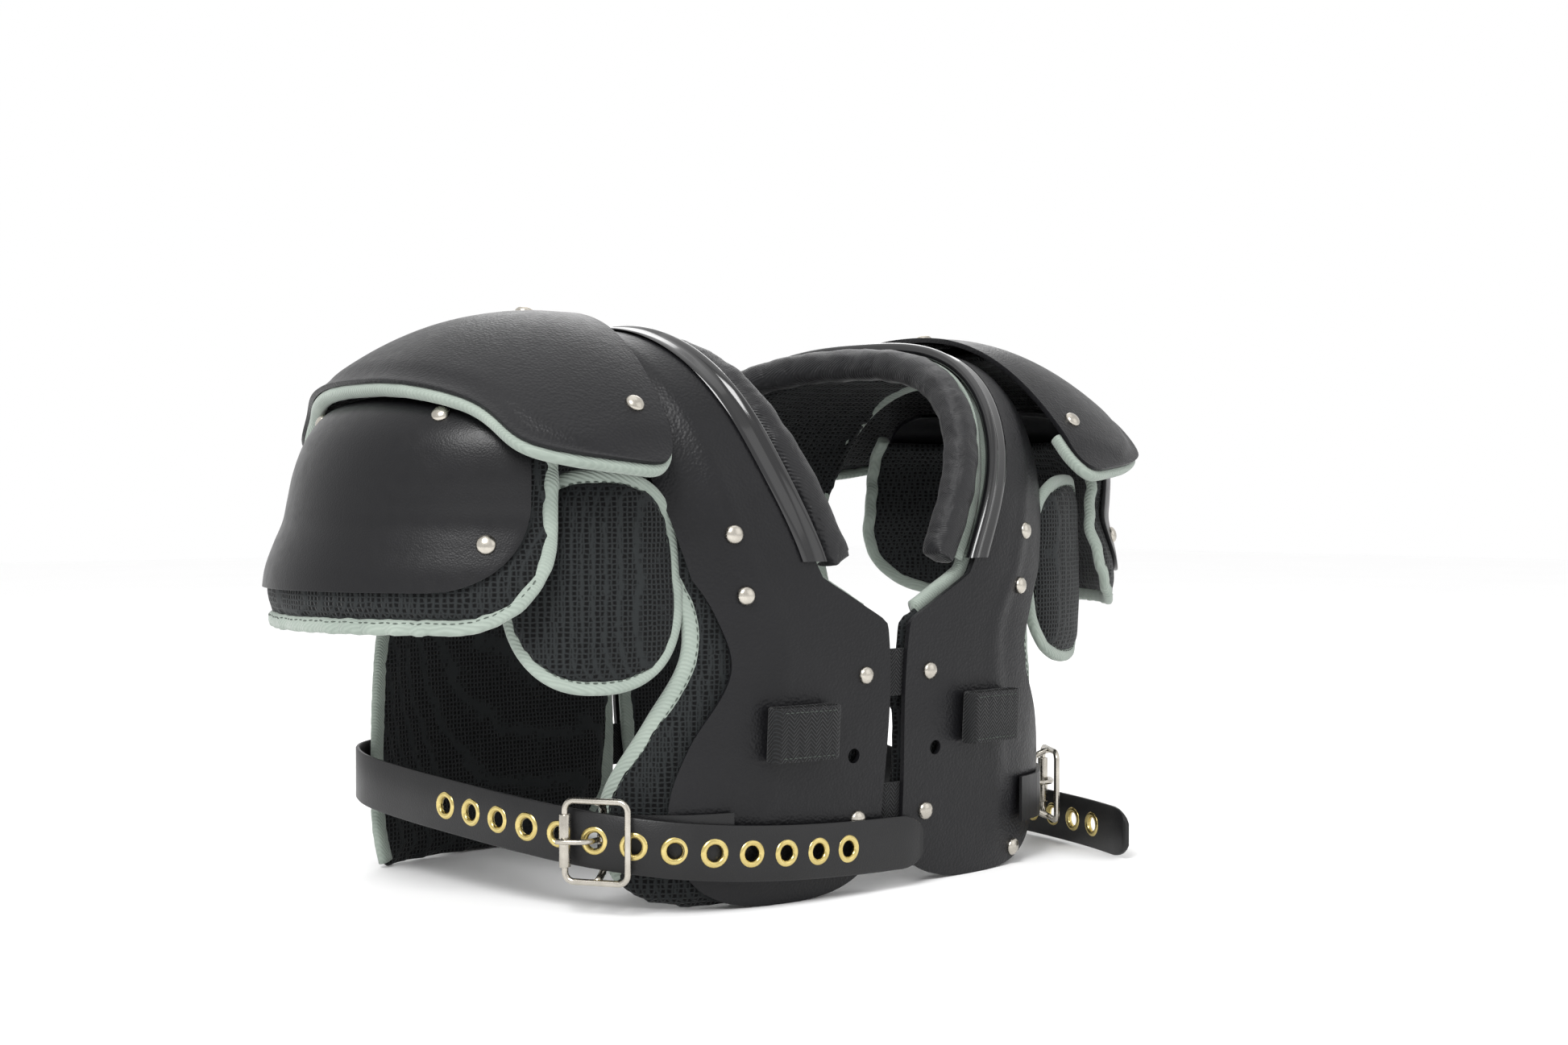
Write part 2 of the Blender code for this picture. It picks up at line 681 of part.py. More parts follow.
def build_wing(side, sign):
    """The oval flap pad that closes the front of the arm opening."""
    centre = Vector((0.1684, -0.1007, 0.1675))
    across = Vector((0.905, 0.425, 0)).normalized()
    normal = Vector((across.y, -across.x, 0))
    rings = ((0.0, 0.5), (0.6, 0.5), (0.92, 0.42), (1.0, 0.0), (0.92, -0.42), (0.6, -0.5), (0.0, -0.5))
    thick, wide, tall, count = 0.009, 0.042, 0.053, 24
    points = []
    for share, depth in rings:
        for k in range(count if share else 1):
            a = 2 * math.pi * k / count
            reach = across * wide * share * math.cos(a) + Vector((0, 0, tall * share * math.sin(a)))
            points.append(mirror(centre + reach + normal * thick * depth, sign))
    faces = []
    last = len(points) - 1
    for k in range(count):
        n = (k + 1) % count
        faces.append((0, 1 + k, 1 + n))
        for r in range(4):
            a, b = 1 + r * count, 1 + (r + 1) * count
            faces.append((a + k, b + k, b + n, a + n))
        faces.append((last, 1 + 4 * count + n, 1 + 4 * count + k))
    name = f"wing_pad_{side}"
    add_object(name, closed_mesh(name, points, faces), "mesh")


def build_web_loop(side, sign):
    """The flat webbing tunnel on the chest plate, open at the top and at the bottom."""
    width, depth, wall = 0.042, 0.0110, 0.0015
    low, high = 0.0765, 0.1045
    centre_x = 0.068
    rows_out, rows_in = [], []
    for z in (low, high):
        t = z / SPRING_Z
        seat = SHELL_WALL + SEAT_GAP
        outline, bore = [], []
        for x, lift in ((-1, 0), (0, 0), (1, 0), (1, 0.8), (0.9, 1), (0, 1), (-0.9, 1), (-1, 0.8)):
            outline.append(mirror(off_torso(centre_x + x * width / 2, t, seat + lift * depth), sign))
            half = width / 2 - wall
            rise = wall + lift * (depth - 2 * wall)
            bore.append(mirror(off_torso(centre_x + x * half, t, seat + rise), sign))
        rows_out.append(outline)
        rows_in.append(bore)
    count = len(rows_out[0])
    points = rows_out[0] + rows_out[1] + rows_in[0] + rows_in[1]
    faces = []
    for k in range(count):
        n = (k + 1) % count
        faces.append((k, n, count + n, count + k))
        faces.append((2 * count + k, 3 * count + k, 3 * count + n, 2 * count + n))
        faces.append((k, 2 * count + k, 2 * count + n, n))
        faces.append((count + k, count + n, 3 * count + n, 3 * count + k))
    name = f"web_loop_{side}"
    add_object(name, closed_mesh(name, points, faces), "web")


# ---------------------------------------------------------------- belts and buckles

# Plan routes of the belts for +X, from the free tip to the back: (x, y, height of the middle).
BUCKLED_ROUTE = (
    (-0.020, -0.1335, 0.0245), (0.030, -0.1350, 0.0260), (0.070, -0.1345, 0.0280),
    (0.105, -0.1290, 0.0305), (0.134, -0.1185, 0.0335), (0.1545, -0.1015, 0.0365),
    (0.1700, -0.0770, 0.0395), (0.1820, -0.0430, 0.0430), (0.1900, 0.0000, 0.0465),
    (0.1965, 0.0450, 0.0500), (0.1990, 0.0850, 0.0535), (0.1925, 0.1080, 0.0560),
    (0.1780, 0.1215, 0.0570), (0.1500, 0.1318, 0.0575), (0.1300, 0.1350, 0.0575),
)
FREE_ROUTE = (
    (0.1640, -0.1560, 0.0150), (0.1780, -0.1150, 0.0155), (0.1880, -0.0700, 0.0160),
    (0.1950, -0.0230, 0.0165), (0.1985, 0.0250, 0.0190), (0.2000, 0.0700, 0.0250),
    (0.1985, 0.0900, 0.0290), (0.1935, 0.1050, 0.0325),
)
BELT_AXIS_X = 0.1925
BELT_AXIS_Y = 0.1045
ANCHOR_ROUTE = (
    (0.1932, 0.1055, 0.0326), (0.1850, 0.1150, 0.0350), (0.1680, 0.1235, 0.0370),
    (0.1500, 0.1304, 0.0375), (0.1300, 0.1335, 0.0375),
)


def level_normal(path, k):
    """The horizontal normal of a path that runs from the front to the back at +X."""
    ahead = path[min(k + 1, len(path) - 1)] - path[max(k - 1, 0)]
    return Vector((ahead.y, -ahead.x, 0)).normalized()


def strap_mesh(name, path, width, thick, sign, tip=0):
    """A flat strap on edge along a path. A tip rounds its first end over that many stations."""
    points = []
    for k, p in enumerate(path):
        normal = level_normal(path, k)
        half = width / 2
        if k < tip:
            half *= 0.55 + 0.45 * math.sin(math.pi / 2 * k / tip)
        for out, up in ((1, 1), (1, -1), (-1, -1), (-1, 1)):
            corner = p + normal * (thick / 2 * out) + Vector((0, 0, half * up))
            points.append(mirror(corner, sign))
    faces = [(0, 1, 2, 3)]
    for k in range(len(path) - 1):
        for c in range(4):
            a, b = 4 * k + c, 4 * k + (c + 1) % 4
            faces.append((a, b, b + 4, a + 4))
    end = 4 * (len(path) - 1)
    faces.append((end, end + 1, end + 2, end + 3))
    return closed_mesh(name, points, faces)


def stations(path, start, pitch, count):
    """Places and normals at even distances along a path, for holes."""
    found = []
    run, k = 0.0, 0
    for n in range(count):
        want = start + pitch * n
        while k < len(path) - 2 and run + (path[k + 1] - path[k]).length < want:
            run += (path[k + 1] - path[k]).length
            k += 1
        share = (want - run) / (path[k + 1] - path[k]).length
        found.append((path[k].lerp(path[k + 1], share), level_normal(path, k)))
    return found


def build_belt(name, sign, path, lead, eyelets, origin=(0, 0, 0)):
    """One eyelet belt with its row of holes; the lead is from the tip to the first one."""
    mesh = strap_mesh(name, path, BELT_WIDTH, BELT_THICK, sign, 3)
    belt = add_object(name, mesh, "belt", origin)
    cutters = []
    for place, normal in stations(path, lead, EYELET_PITCH, eyelets):
        profile = [(EYELET_BORE_R, -0.006), (EYELET_BORE_R, 0.006)]
        mesh = turned("eyelet_cutter", profile, mirror(place, sign), mirror(normal, sign), 8)
        cutters.append(helper("eyelet_cutter", mesh))
    join(belt, cutters, "DIFFERENCE")


# The buckle stands on the belt at this eyelet, counted from the tip.
BUCKLE_EYELET = 7
BUCKLED_LEAD = 0.056
FREE_LEAD = 0.040
BAR_DEPTH = 0.0012 + SEAT_GAP + LOOP_WALL + SEAT_GAP + BUCKLE_BAR_R + 0.0003
FRAME_LIFT = 0.0048
TONGUE_HOLE_LEAD = 0.0026


class BucklePlace:
    """The place of a buckle: along the belt, outwards from it and up."""

    def __init__(self, sign, path):
        run = BUCKLED_LEAD + EYELET_PITCH * BUCKLE_EYELET
        eyelet, normal = stations(path, run, EYELET_PITCH, 1)[0]
        self.sign = sign
        self.out = normal
        self.along = Vector((-normal.y, normal.x, 0))
        self.centre = eyelet - self.along * TONGUE_HOLE_LEAD

    def at(self, along, out, up):
        """A world point from the buckle's own distances."""
        place = self.centre + self.along * along + self.out * out + Vector((0, 0, up))
        return mirror(place, self.sign)


def build_buckle(side, sign, place):
    """The centre-bar buckle: frame, roller, tongue, and the strap that ties it to the plate."""
    origin = place.at(0, -BAR_DEPTH, 0)
    half_l, half_h, corner = BUCKLE_LENGTH / 2, BUCKLE_HEIGHT / 2, 0.005
    loop = []
    for x, z, start in ((1, 1, 0), (-1, 1, 90), (-1, -1, 180), (1, -1, 270)):
        for step in range(4):
            a = math.radians(start + 30 * step)
            loop.append((x * (half_l - corner) + corner * math.cos(a), z * (half_h - corner) + corner * math.sin(a)))
    ring = [place.at(s, FRAME_LIFT, z) for s, z in loop]
    sides, points, faces = 8, [], []
    count = len(ring)
    out = mirror(place.out, sign)
    for k, p in enumerate(ring):
        ahead = (ring[(k + 1) % count] - ring[k - 1]).normalized()
        side_way = ahead.cross(out).normalized()
        for c in range(sides):
            a = 2 * math.pi * c / sides
            points.append(p + side_way * BUCKLE_WIRE_R * math.cos(a) + out * BUCKLE_WIRE_R * math.sin(a))
    for k in range(count):
        n = (k + 1) % count
        for c in range(sides):
            d = (c + 1) % sides
            faces.append((k * sides + c, k * sides + d, n * sides + d, n * sides + c))
    name = f"buckle_frame_{side}"
    frame = add_object(name, closed_mesh(name, points, faces), "steel")
    inner = BELT_WIDTH / 2 + 0.0014
    rail = half_h - 0.0002
    bar = []
    bar.append((rail, FRAME_LIFT))
    bar.append((rail - 0.0012, 0.001))
    bar.append((inner + 0.0012, -BAR_DEPTH + 0.0012))
    bar.append((inner - 0.001, -BAR_DEPTH))
    line = bar + [(0.004, -BAR_DEPTH), (-0.004, -BAR_DEPTH)]
    line += [(-z, lift) for z, lift in reversed(bar)]
    path = [place.at(0, lift, z) for z, lift in line]
    join(frame, [helper("centre_bar", tube("centre_bar", path, BUCKLE_BAR_R, 8))], "UNION")
    roller_bore = BUCKLE_WIRE_R + SEAT_GAP
    path = [place.at(half_l, FRAME_LIFT, z) for z in (-ROLLER_LENGTH / 2, ROLLER_LENGTH / 2)]
    name = f"buckle_roller_{side}"
    mesh = tube(name, path, roller_bore + ROLLER_WALL, 16, roller_bore)
    add_object(name, mesh, "steel", place.at(half_l, FRAME_LIFT, 0))
    ring_bore = BUCKLE_BAR_R + SEAT_GAP
    ring_r = ring_bore + LOOP_WALL
    name = f"buckle_tongue_{side}"
    path = [place.at(0, -BAR_DEPTH, z) for z in (-0.0022, 0.0022)]
    tongue = add_object(name, tube(name, path, ring_r, 12, ring_bore), "steel", origin)
    rest = FRAME_LIFT + roller_bore + ROLLER_WALL + SEAT_GAP + TONGUE_WIRE_R
    route = (
        (0.0014, -BAR_DEPTH + 0.0025, 0), (0.0026, -0.0005, 0), (0.0030, 0.0030, 0),
        (0.0050, 0.0062, 0), (0.0095, rest - 0.0012, 0), (0.0150, rest, 0), (half_l + 0.003, rest, 0),
    )
    path = [place.at(*p) for p in route]
    join(tongue, [helper("prong", tube("prong", path, TONGUE_WIRE_R, 8))], "UNION")
    # The short strap is riveted to the plate and loops round the centre bar, above and below the tongue.
    face = 3 * PAD_GAP + WEB_THICK / 2
    points = []
    for x in (0.104, 0.112, 0.120, 0.1265):
        p = off_torso(x, 0.215, SHELL_WALL + face)
        points.append(Vector((p.x, p.y, place.centre.z)))
    end = place.centre - place.out * (BAR_DEPTH + ring_r - WEB_THICK / 2 - 0.0002)
    points.append(end - place.along * 0.013 + place.out * 0.0012)
    points.append(end + place.along * 0.0006)
    name = f"buckle_strap_{side}"
    path = smooth_path(points, 14)
    strap = add_object(name, strap_mesh(name, path, BELT_WIDTH - 0.003, WEB_THICK, sign), "belt")
    loops = []
    for low, high in ((0.0028, 0.0120), (-0.0120, -0.0028)):
        path = [place.at(0, -BAR_DEPTH, z) for z in (low, high)]
        loops.append(helper("bar_loop", tube("bar_loop", path, ring_r, 12)))
    join(strap, loops, "UNION")
    bore = tube("bar_way", [place.at(0, -BAR_DEPTH, z) for z in (-0.02, 0.02)], ring_bore, 12)
    slot = tube("tongue_way", [place.at(0, -BAR_DEPTH, z) for z in (-0.0026, 0.0026)], ring_r + 0.0006, 12)
    join(strap, [helper("bar_way", bore), helper("tongue_way", slot)], "DIFFERENCE")


def clear_scene():
    """Remove whatever the file holds."""
    for obj in list(bpy.data.objects):
        bpy.data.objects.remove(obj)


def main():
    """Build every piece of the shoulder pads."""
    clear_scene()
    for side, sign in SIDES:
        build_arch(side, sign)
        build_neck_trim(side, sign)
        build_body_pads(side, sign)
        build_epaulet(side, sign)
        build_cup(side, sign)
        build_wing(side, sign)
        build_web_loop(side, sign)
        place = BucklePlace(sign, smooth_path(BUCKLED_ROUTE, 54))
        build_buckle(side, sign, place)
    build_links()
    build_collar()
    build_belt("belt_right", -1, smooth_path(BUCKLED_ROUTE, 54), BUCKLED_LEAD, 13)
    axis = Vector((BELT_AXIS_X, BELT_AXIS_Y, FREE_ROUTE[-1][2]))
    build_belt("belt_left", 1, smooth_path(FREE_ROUTE, 30), FREE_LEAD, 10, axis)
    anchor = smooth_path(ANCHOR_ROUTE, 9)
    mesh = strap_mesh("belt_anchor_left", anchor, BELT_WIDTH, BELT_THICK, 1)
    add_object("belt_anchor_left", mesh, "belt")
    for piece in bpy.data.objects:
        piece.location.y += CENTRING_Y


main()
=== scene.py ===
"""Looks of a set of contact-sport shoulder pads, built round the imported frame.

Each sub-assembly is a class that holds its sizes and makes its pieces. The wearer faces -Y and
the wearer's left is +X. Every side piece is made for +X and mirrored by the sign of its side.
"""

import logging
import math
from dataclasses import dataclass, field
from enum import Enum
from typing import Callable, Dict, Iterable, List, Optional, Sequence, Tuple

import bmesh
import bpy
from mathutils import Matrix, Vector, noise


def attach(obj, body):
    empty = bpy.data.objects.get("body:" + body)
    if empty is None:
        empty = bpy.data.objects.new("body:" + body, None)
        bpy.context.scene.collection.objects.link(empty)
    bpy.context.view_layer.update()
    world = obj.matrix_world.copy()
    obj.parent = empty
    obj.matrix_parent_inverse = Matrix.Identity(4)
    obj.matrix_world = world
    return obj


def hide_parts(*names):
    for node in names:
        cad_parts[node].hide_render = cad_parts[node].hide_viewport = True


LOG = logging.getLogger("shoulder_pads")
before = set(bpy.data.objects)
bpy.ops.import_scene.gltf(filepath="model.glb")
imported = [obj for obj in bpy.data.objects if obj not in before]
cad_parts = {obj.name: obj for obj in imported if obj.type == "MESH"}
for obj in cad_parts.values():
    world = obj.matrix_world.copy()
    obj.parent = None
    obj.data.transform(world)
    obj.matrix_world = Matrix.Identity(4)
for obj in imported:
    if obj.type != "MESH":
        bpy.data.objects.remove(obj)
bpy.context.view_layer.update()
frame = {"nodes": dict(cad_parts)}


Table = Sequence[Tuple[float, float]]
Grid = List[List[Vector]]
Frame = Tuple[Vector, Vector, Vector]
Outline = Sequence[Tuple[float, float]]
Spot = Tuple[Vector, Vector]

CENTRING = Vector((0.0, 0.0082, 0.0))
STITCH_PITCH = 0.0042
LOOP_STITCH_PITCH = 0.0030
PLATE_CREASE = 50.0
TUBE_CREASE = 60.0
BELT_HALF = 0.0143


class Side(Enum):
    """A side of the wearer, with the sign of its X."""

    RIGHT = -1
    LEFT = 1

    @property
    def word(self) -> str:
        """The side's name in node and body names."""
        return self.name.lower()


# ------------------------------------------------------------------ the form of the torso


def smooth(table: Table, at: float) -> float:
    """The value at a place along (place, value) pairs, by cubic Hermite pieces.

    Args:
        table: The pairs, in order of place.
        at: The place.

    Returns:
        The smoothly interpolated value.
    """
    if at <= table[0][0]:
        return table[0][1]
    if at >= table[-1][0]:
        return table[-1][1]
    i = max(k for k in range(len(table) - 1) if table[k][0] <= at)

    def slope(k: int) -> float:
        """The slope at a pair, from its two neighbours."""
        low, high = table[max(k - 1, 0)], table[min(k + 1, len(table) - 1)]
        return (high[1] - low[1]) / (high[0] - low[0])

    (a, va), (b, vb) = table[i], table[i + 1]
    w = b - a
    u = (at - a) / w
    start = (1 + 2 * u) * (1 - u) ** 2 * va + u * (1 - u) ** 2 * w * slope(i)
    return start + u * u * (3 - 2 * u) * vb + u * u * (u - 1) * w * slope(i + 1)


def eased_step(low: float, high: float, at: float) -> float:
    """A smooth step from 0 at low to 1 at high."""
    u = min(1.0, max(0.0, (at - low) / (high - low)))
    return u * u * (3 - 2 * u)


def spaced(start: float, end: float, count: int) -> List[float]:
    """Evenly spaced numbers, both ends included."""
    return [start + (end - start) * k / (count - 1) for k in range(count)]


def eased(count: int) -> List[float]:
    """Shares from 0 to 1, closer together at both ends."""
    return [0.5 - 0.5 * math.cos(math.pi * k / (count - 1)) for k in range(count)]


@dataclass(frozen=True)
class TorsoForm:
    """The surface that the arch shells follow, by lateral distance and path value.

    The path value runs from 0 at the front hem to 1 at the spring line of the shoulders, 2 at
    the rear spring line and 3 at the back hem.
    """

    front_half_width: float = 0.168
    front_half_depth: float = 0.134
    back_half_width: float = 0.215
    back_half_depth: float = 0.137
    front_power: float = 3.5
    back_power: float = 4.5
    side_power: float = 2.7
    spring_z: float = 0.170
    crown_rise: float = 0.130
    crown_x: float = 0.105
    crown_fall: float = 2.8
    foot_lean: float = 0.08

    def half_depth(self, x: float, back: bool) -> float:
        """How far the section reaches forward or back at a lateral distance."""
        width = self.back_half_width if back else self.front_half_width
        depth = self.back_half_depth if back else self.front_half_depth
        power = self.back_power if back else self.front_power
        ratio = min(abs(x) / width, 0.99)
        return depth * (1 - ratio**power) ** (1 / power)

    def at(self, x: float, t: float) -> Vector:
        """The point of the surface at a lateral distance and a path value."""
        if t < 1:
            lean = 1 - self.foot_lean * (1 - t) ** 2
            return Vector((x, -self.half_depth(x, False) * lean, self.spring_z * t))
        if t > 2:
            lean = 1 - self.foot_lean * (t - 2) ** 2
            return Vector((x, self.half_depth(x, True) * lean, self.spring_z * (3 - t)))
        angle = (t - 1) * math.pi
        c, s = math.cos(angle), math.sin(angle)
        reach = (abs(c) ** self.side_power + abs(s) ** self.side_power) ** (-1 / self.side_power)
        rise = self.crown_rise - self.crown_fall * max(0.0, abs(x) - self.crown_x) ** 2
        behind = eased_step(0.0, 1.0, 2 * t - 3)
        depth = self.half_depth(x, False) * (1 - behind) + self.half_depth(x, True) * behind
        return Vector((x, -depth * c * reach, self.spring_z + rise * s * reach))

    def normal(self, x: float, t: float) -> Vector:
        """The outward unit normal of the surface."""
        e = 0.002
        low, high = max(t - 0.01, 0.0), min(t + 0.01, 3.0)
        across = self.at(x + e, t) - self.at(x - e, t)
        return across.cross(self.at(x, high) - self.at(x, low)).normalized()

    def off(self, x: float, t: float, lift: float) -> Vector:
        """A point off the surface, kept level at the hems."""
        normal = self.normal(x, t)
        level = 1 - eased_step(0.25, 0.35, t) * (1 - eased_step(2.65, 2.75, t))
        normal = Vector((normal.x, normal.y, normal.z * (1 - level))).normalized()
        return self.at(x, t) + normal * lift + CENTRING


TORSO = TorsoForm()

SHELL_INNER: Table = (
    (0.0, 0.062), (0.01, 0.044), (0.03, 0.031), (0.06, 0.021), (0.10, 0.0135), (0.15, 0.0095),
    (0.21, 0.008), (0.84, 0.008), (0.91, 0.026), (1.00, 0.054), (1.04, 0.062), (1.17, 0.087),
    (1.34, 0.104), (1.50, 0.101), (1.64, 0.087), (1.73, 0.068), (1.82, 0.036), (1.88, 0.012),
    (1.94, 0.008), (2.80, 0.008), (3.0, 0.030),
)
SHELL_OUTER: Table = (
    (0.0, 0.080), (0.01, 0.097), (0.03, 0.108), (0.06, 0.117), (0.10, 0.1235), (0.16, 0.1285),
    (0.32, 0.134), (0.50, 0.126), (0.72, 0.107), (0.90, 0.116), (1.05, 0.132), (1.20, 0.148),
    (1.50, 0.156), (1.80, 0.160), (2.00, 0.160), (2.30, 0.150), (2.70, 0.150), (2.90, 0.138),
    (3.0, 0.116),
)
FRONT_PAD_OUTER: Table = (
    (0.0, 0.128), (0.012, 0.139), (0.03, 0.146), (0.07, 0.153), (0.18, 0.160), (0.36, 0.160),
    (0.56, 0.146), (0.74, 0.131), (0.88, 0.130), (1.02, 0.140), (1.18, 0.154), (1.47, 0.161),
)
BACK_PAD_OUTER: Table = (
    (1.53, 0.162), (1.80, 0.168), (2.00, 0.170), (2.30, 0.182), (2.60, 0.188), (2.85, 0.190),
    (3.0, 0.184),
)
COLLAR_ROUTE: Table = (
    (1.02, 0.038), (1.10, 0.055), (1.20, 0.073), (1.34, 0.086), (1.50, 0.083), (1.62, 0.070),
    (1.70, 0.052), (1.75, 0.028), (1.77, 0.0),
)


# ------------------------------------------------------------------ meshes


def mirrored(point: Vector, side: Side) -> Vector:
    """A point or direction made for +X, on the given side."""
    return Vector((point.x * side.value, point.y, point.z))


def solid(name: str, points: Sequence[Vector], faces: Sequence[Tuple[int, ...]]) -> bpy.types.Object:
    """A smooth-shaded object in the scene from points and faces, with its faces turned outwards.

    Args:
        name: The object's name.
        points: The places, in metres.
        faces: The corners of each face.

    Returns:
        The new object.
    """
    mesh = bpy.data.meshes.new(name)
    mesh.from_pydata([tuple(p) for p in points], [], faces)
    work = bmesh.new()
    work.from_mesh(mesh)
    bmesh.ops.recalc_face_normals(work, faces=work.faces)
    if work.calc_volume(signed=True) < 0:
        bmesh.ops.reverse_faces(work, faces=work.faces)
    work.to_mesh(mesh)
    work.free()
    mesh.shade_smooth()
    made = bpy.data.objects.new(name, mesh)
    bpy.context.scene.collection.objects.link(made)
    return made


def settled(piece: bpy.types.Object) -> bpy.types.Object:
    """Turn what a piece's modifiers make into its plain mesh, and remove them."""
    bpy.context.view_layer.update()
    graph = bpy.context.evaluated_depsgraph_get()
    mesh = bpy.data.meshes.new_from_object(piece.evaluated_get(graph))
    piece.modifiers.clear()
    piece.data = mesh
    return piece


def cut_by(piece: bpy.types.Object, cutter: bpy.types.Object) -> None:
    """Cut a piece with another object, then remove the cutter."""
    step = piece.modifiers.new("cut", "BOOLEAN")
    step.operation, step.solver, step.object = "DIFFERENCE", "EXACT", cutter
    settled(piece)
    bpy.data.objects.remove(cutter)


def creased(piece: bpy.types.Object, degrees: float) -> None:
    """Shade a piece smooth, but sharp across edges over an angle."""
    piece.data.set_sharp_from_angle(angle=math.radians(degrees))


def wall(
    name: str, outer: Grid, inner: Grid, side: Side, round_by: float = 0.0,
) -> bpy.types.Object:
    """A closed wall between two grids of points, with its rim rounded.

    Args:
        name: The object's name.
        outer: The rows of the outer face, made for +X.
        inner: The rows of the inner face, of the same size.
        side: The side that it is for.
        round_by: The radius of its rim.

    Returns:
        The new object.
    """
    rows, columns = len(outer), len(outer[0])
    points = [mirrored(p, side) for grid in (outer, inner) for row in grid for p in row]
    back = rows * columns
    faces: List[Tuple[int, ...]] = []
    for r in range(rows - 1):
        for c in range(columns - 1):
            a = r * columns + c
            quad = (a, a + 1, a + columns + 1, a + columns)
            faces += [quad, tuple(back + k for k in reversed(quad))]
    rim = list(range(columns)) + [r * columns + columns - 1 for r in range(1, rows)]
    rim += [(rows - 1) * columns + c for c in range(columns - 2, -1, -1)]
    rim += [r * columns for r in range(rows - 2, 0, -1)]
    for a, b in zip(rim, rim[1:] + rim[:1]):
        faces.append((b, a, back + a, back + b))
    made = solid(name, points, faces)
    if round_by:
        bevel = made.modifiers.new("rim", "BEVEL")
        bevel.width = round_by
        bevel.segments = 3
        bevel.limit_method = "ANGLE"
        bevel.angle_limit = math.radians(55)
        bevel.use_clamp_overlap = True
        settled(made)
        made.data.shade_smooth()
    return made


def swept(
    name: str, frames: Sequence[Frame], outline: Outline, side: Side, loop: bool = False,
) -> bpy.types.Object:
    """A bar that sweeps an outline along a run of frames.

    Args:
        name: The object's name.
        frames: (place, first direction, second direction) at each station, made for +X.
        outline: The closed outline, as distances along the two directions.
        side: The side that it is for.
        loop: Whether the run closes on itself.

    Returns:
        The new object.
    """
    n = len(outline)
    points = [mirrored(p + a * u + b * v, side) for p, a, b in frames for u, v in outline]
    faces: List[Tuple[int, ...]] = []
    count = len(frames)
    for r in range(count if loop else count - 1):
        after = (r + 1) % count
        for k in range(n):
            d = (k + 1) % n
            faces.append((r * n + k, r * n + d, after * n + d, after * n + k))
    if not loop:
        faces += [tuple(range(n)), tuple((count - 1) * n + k for k in range(n))]
    return solid(name, points, faces)


def oval(half_width: float, half_thick: float, sides: int = 14, power: float = 2.6) -> Outline:
    """The outline of a flattened bar: a superellipse."""
    found = []
    for k in range(sides):
        a = 2 * math.pi * k / sides
        c, s = math.cos(a), math.sin(a)
        u = math.copysign(abs(c) ** (2 / power), c) * half_width
        found.append((u, math.copysign(abs(s) ** (2 / power), s) * half_thick))
    return found


def frames_along(
    places: Sequence[Vector], normal: Callable[[int], Vector], loop: bool = False,
) -> List[Frame]:
    """Frames on a run of places: the first direction lies across the run, the second is the normal.

    Args:
        places: The run.
        normal: The surface normal at each index.
        loop: Whether the run closes on itself.

    Returns:
        One frame for each place.
    """
    count = len(places)
    found = []
    for k, place in enumerate(places):
        before = places[k - 1] if loop or k else places[0]
        after = places[(k + 1) % count] if loop or k < count - 1 else places[-1]
        ahead = (after - before).normalized()
        up = normal(k)
        across = ahead.cross(up).normalized()
        found.append((place, across, across.cross(ahead).normalized()))
    return found


def even_run(places: Sequence[Vector], pitch: float, loop: bool = False) -> List[Spot]:
    """Places and directions at an even pitch along a run."""
    ends = list(places) + ([places[0]] if loop else [])
    found, left = [], pitch / 2
    for a, b in zip(ends, ends[1:]):
        length = (b - a).length
        while left < length:
            found.append((a.lerp(b, left / length), (b - a).normalized()))
            left += pitch
        left -= length
    return found


def push(piece: bpy.types.Object, by: Callable[[Vector, Vector], float]) -> None:
    """Move each point of a piece along its normal by a distance that depends on its place."""
    mesh = piece.data
    moves = [by(v.co, v.normal) for v in mesh.vertices]
    normals = [v.normal.copy() for v in mesh.vertices]
    for v, move, normal in zip(mesh.vertices, moves, normals):
        v.co += normal * move
    mesh.update()


# ------------------------------------------------------------------ soft goods


def inflate(piece: bpy.types.Object, voxel: float, cap: float, pressure: float = 4.0) -> bpy.types.Object:
    """Swell a closed foam form with a short cloth simulation, then keep the result as its mesh.

    Args:
        piece: The form, slightly smaller than the finished pad.
        voxel: The size of the even mesh that it is rebuilt with.
        cap: The most that a point may move.
        pressure: The inner pressure.

    Returns:
        The same object.
    """
    remesh = piece.modifiers.new("even", "REMESH")
    remesh.mode = "VOXEL"
    remesh.voxel_size = voxel
    settled(piece)
    start = [v.co.copy() for v in piece.data.vertices]
    cloth = piece.modifiers.new("swell", "CLOTH")
    cloth.settings.use_pressure = True
    cloth.settings.uniform_pressure_force = pressure
    cloth.settings.effector_weights.gravity = 0.0
    cloth.point_cache.frame_start = 1
    cloth.point_cache.frame_end = 20
    for step in range(1, 21):
        bpy.context.scene.frame_set(step)
    settled(piece)
    bpy.context.scene.frame_set(1)
    for v, was in zip(piece.data.vertices, start):
        move = v.co - was
        if move.length > cap:
            v.co = was + move * (cap / move.length)
    finer = piece.modifiers.new("finer", "SUBSURF")
    finer.levels = finer.render_levels = 1
    settled(piece)
    piece.data.shade_smooth()
    return piece


# ------------------------------------------------------------------ finishes


def linear(code: str) -> Tuple[float, float, float, float]:
    """An sRGB hex colour as linear light."""
    found = []
    for k in (1, 3, 5):
        c = int(code[k:k + 2], 16) / 255
        found.append(c / 12.92 if c <= 0.04045 else ((c + 0.055) / 1.055) ** 2.4)
    return (found[0], found[1], found[2], 1.0)


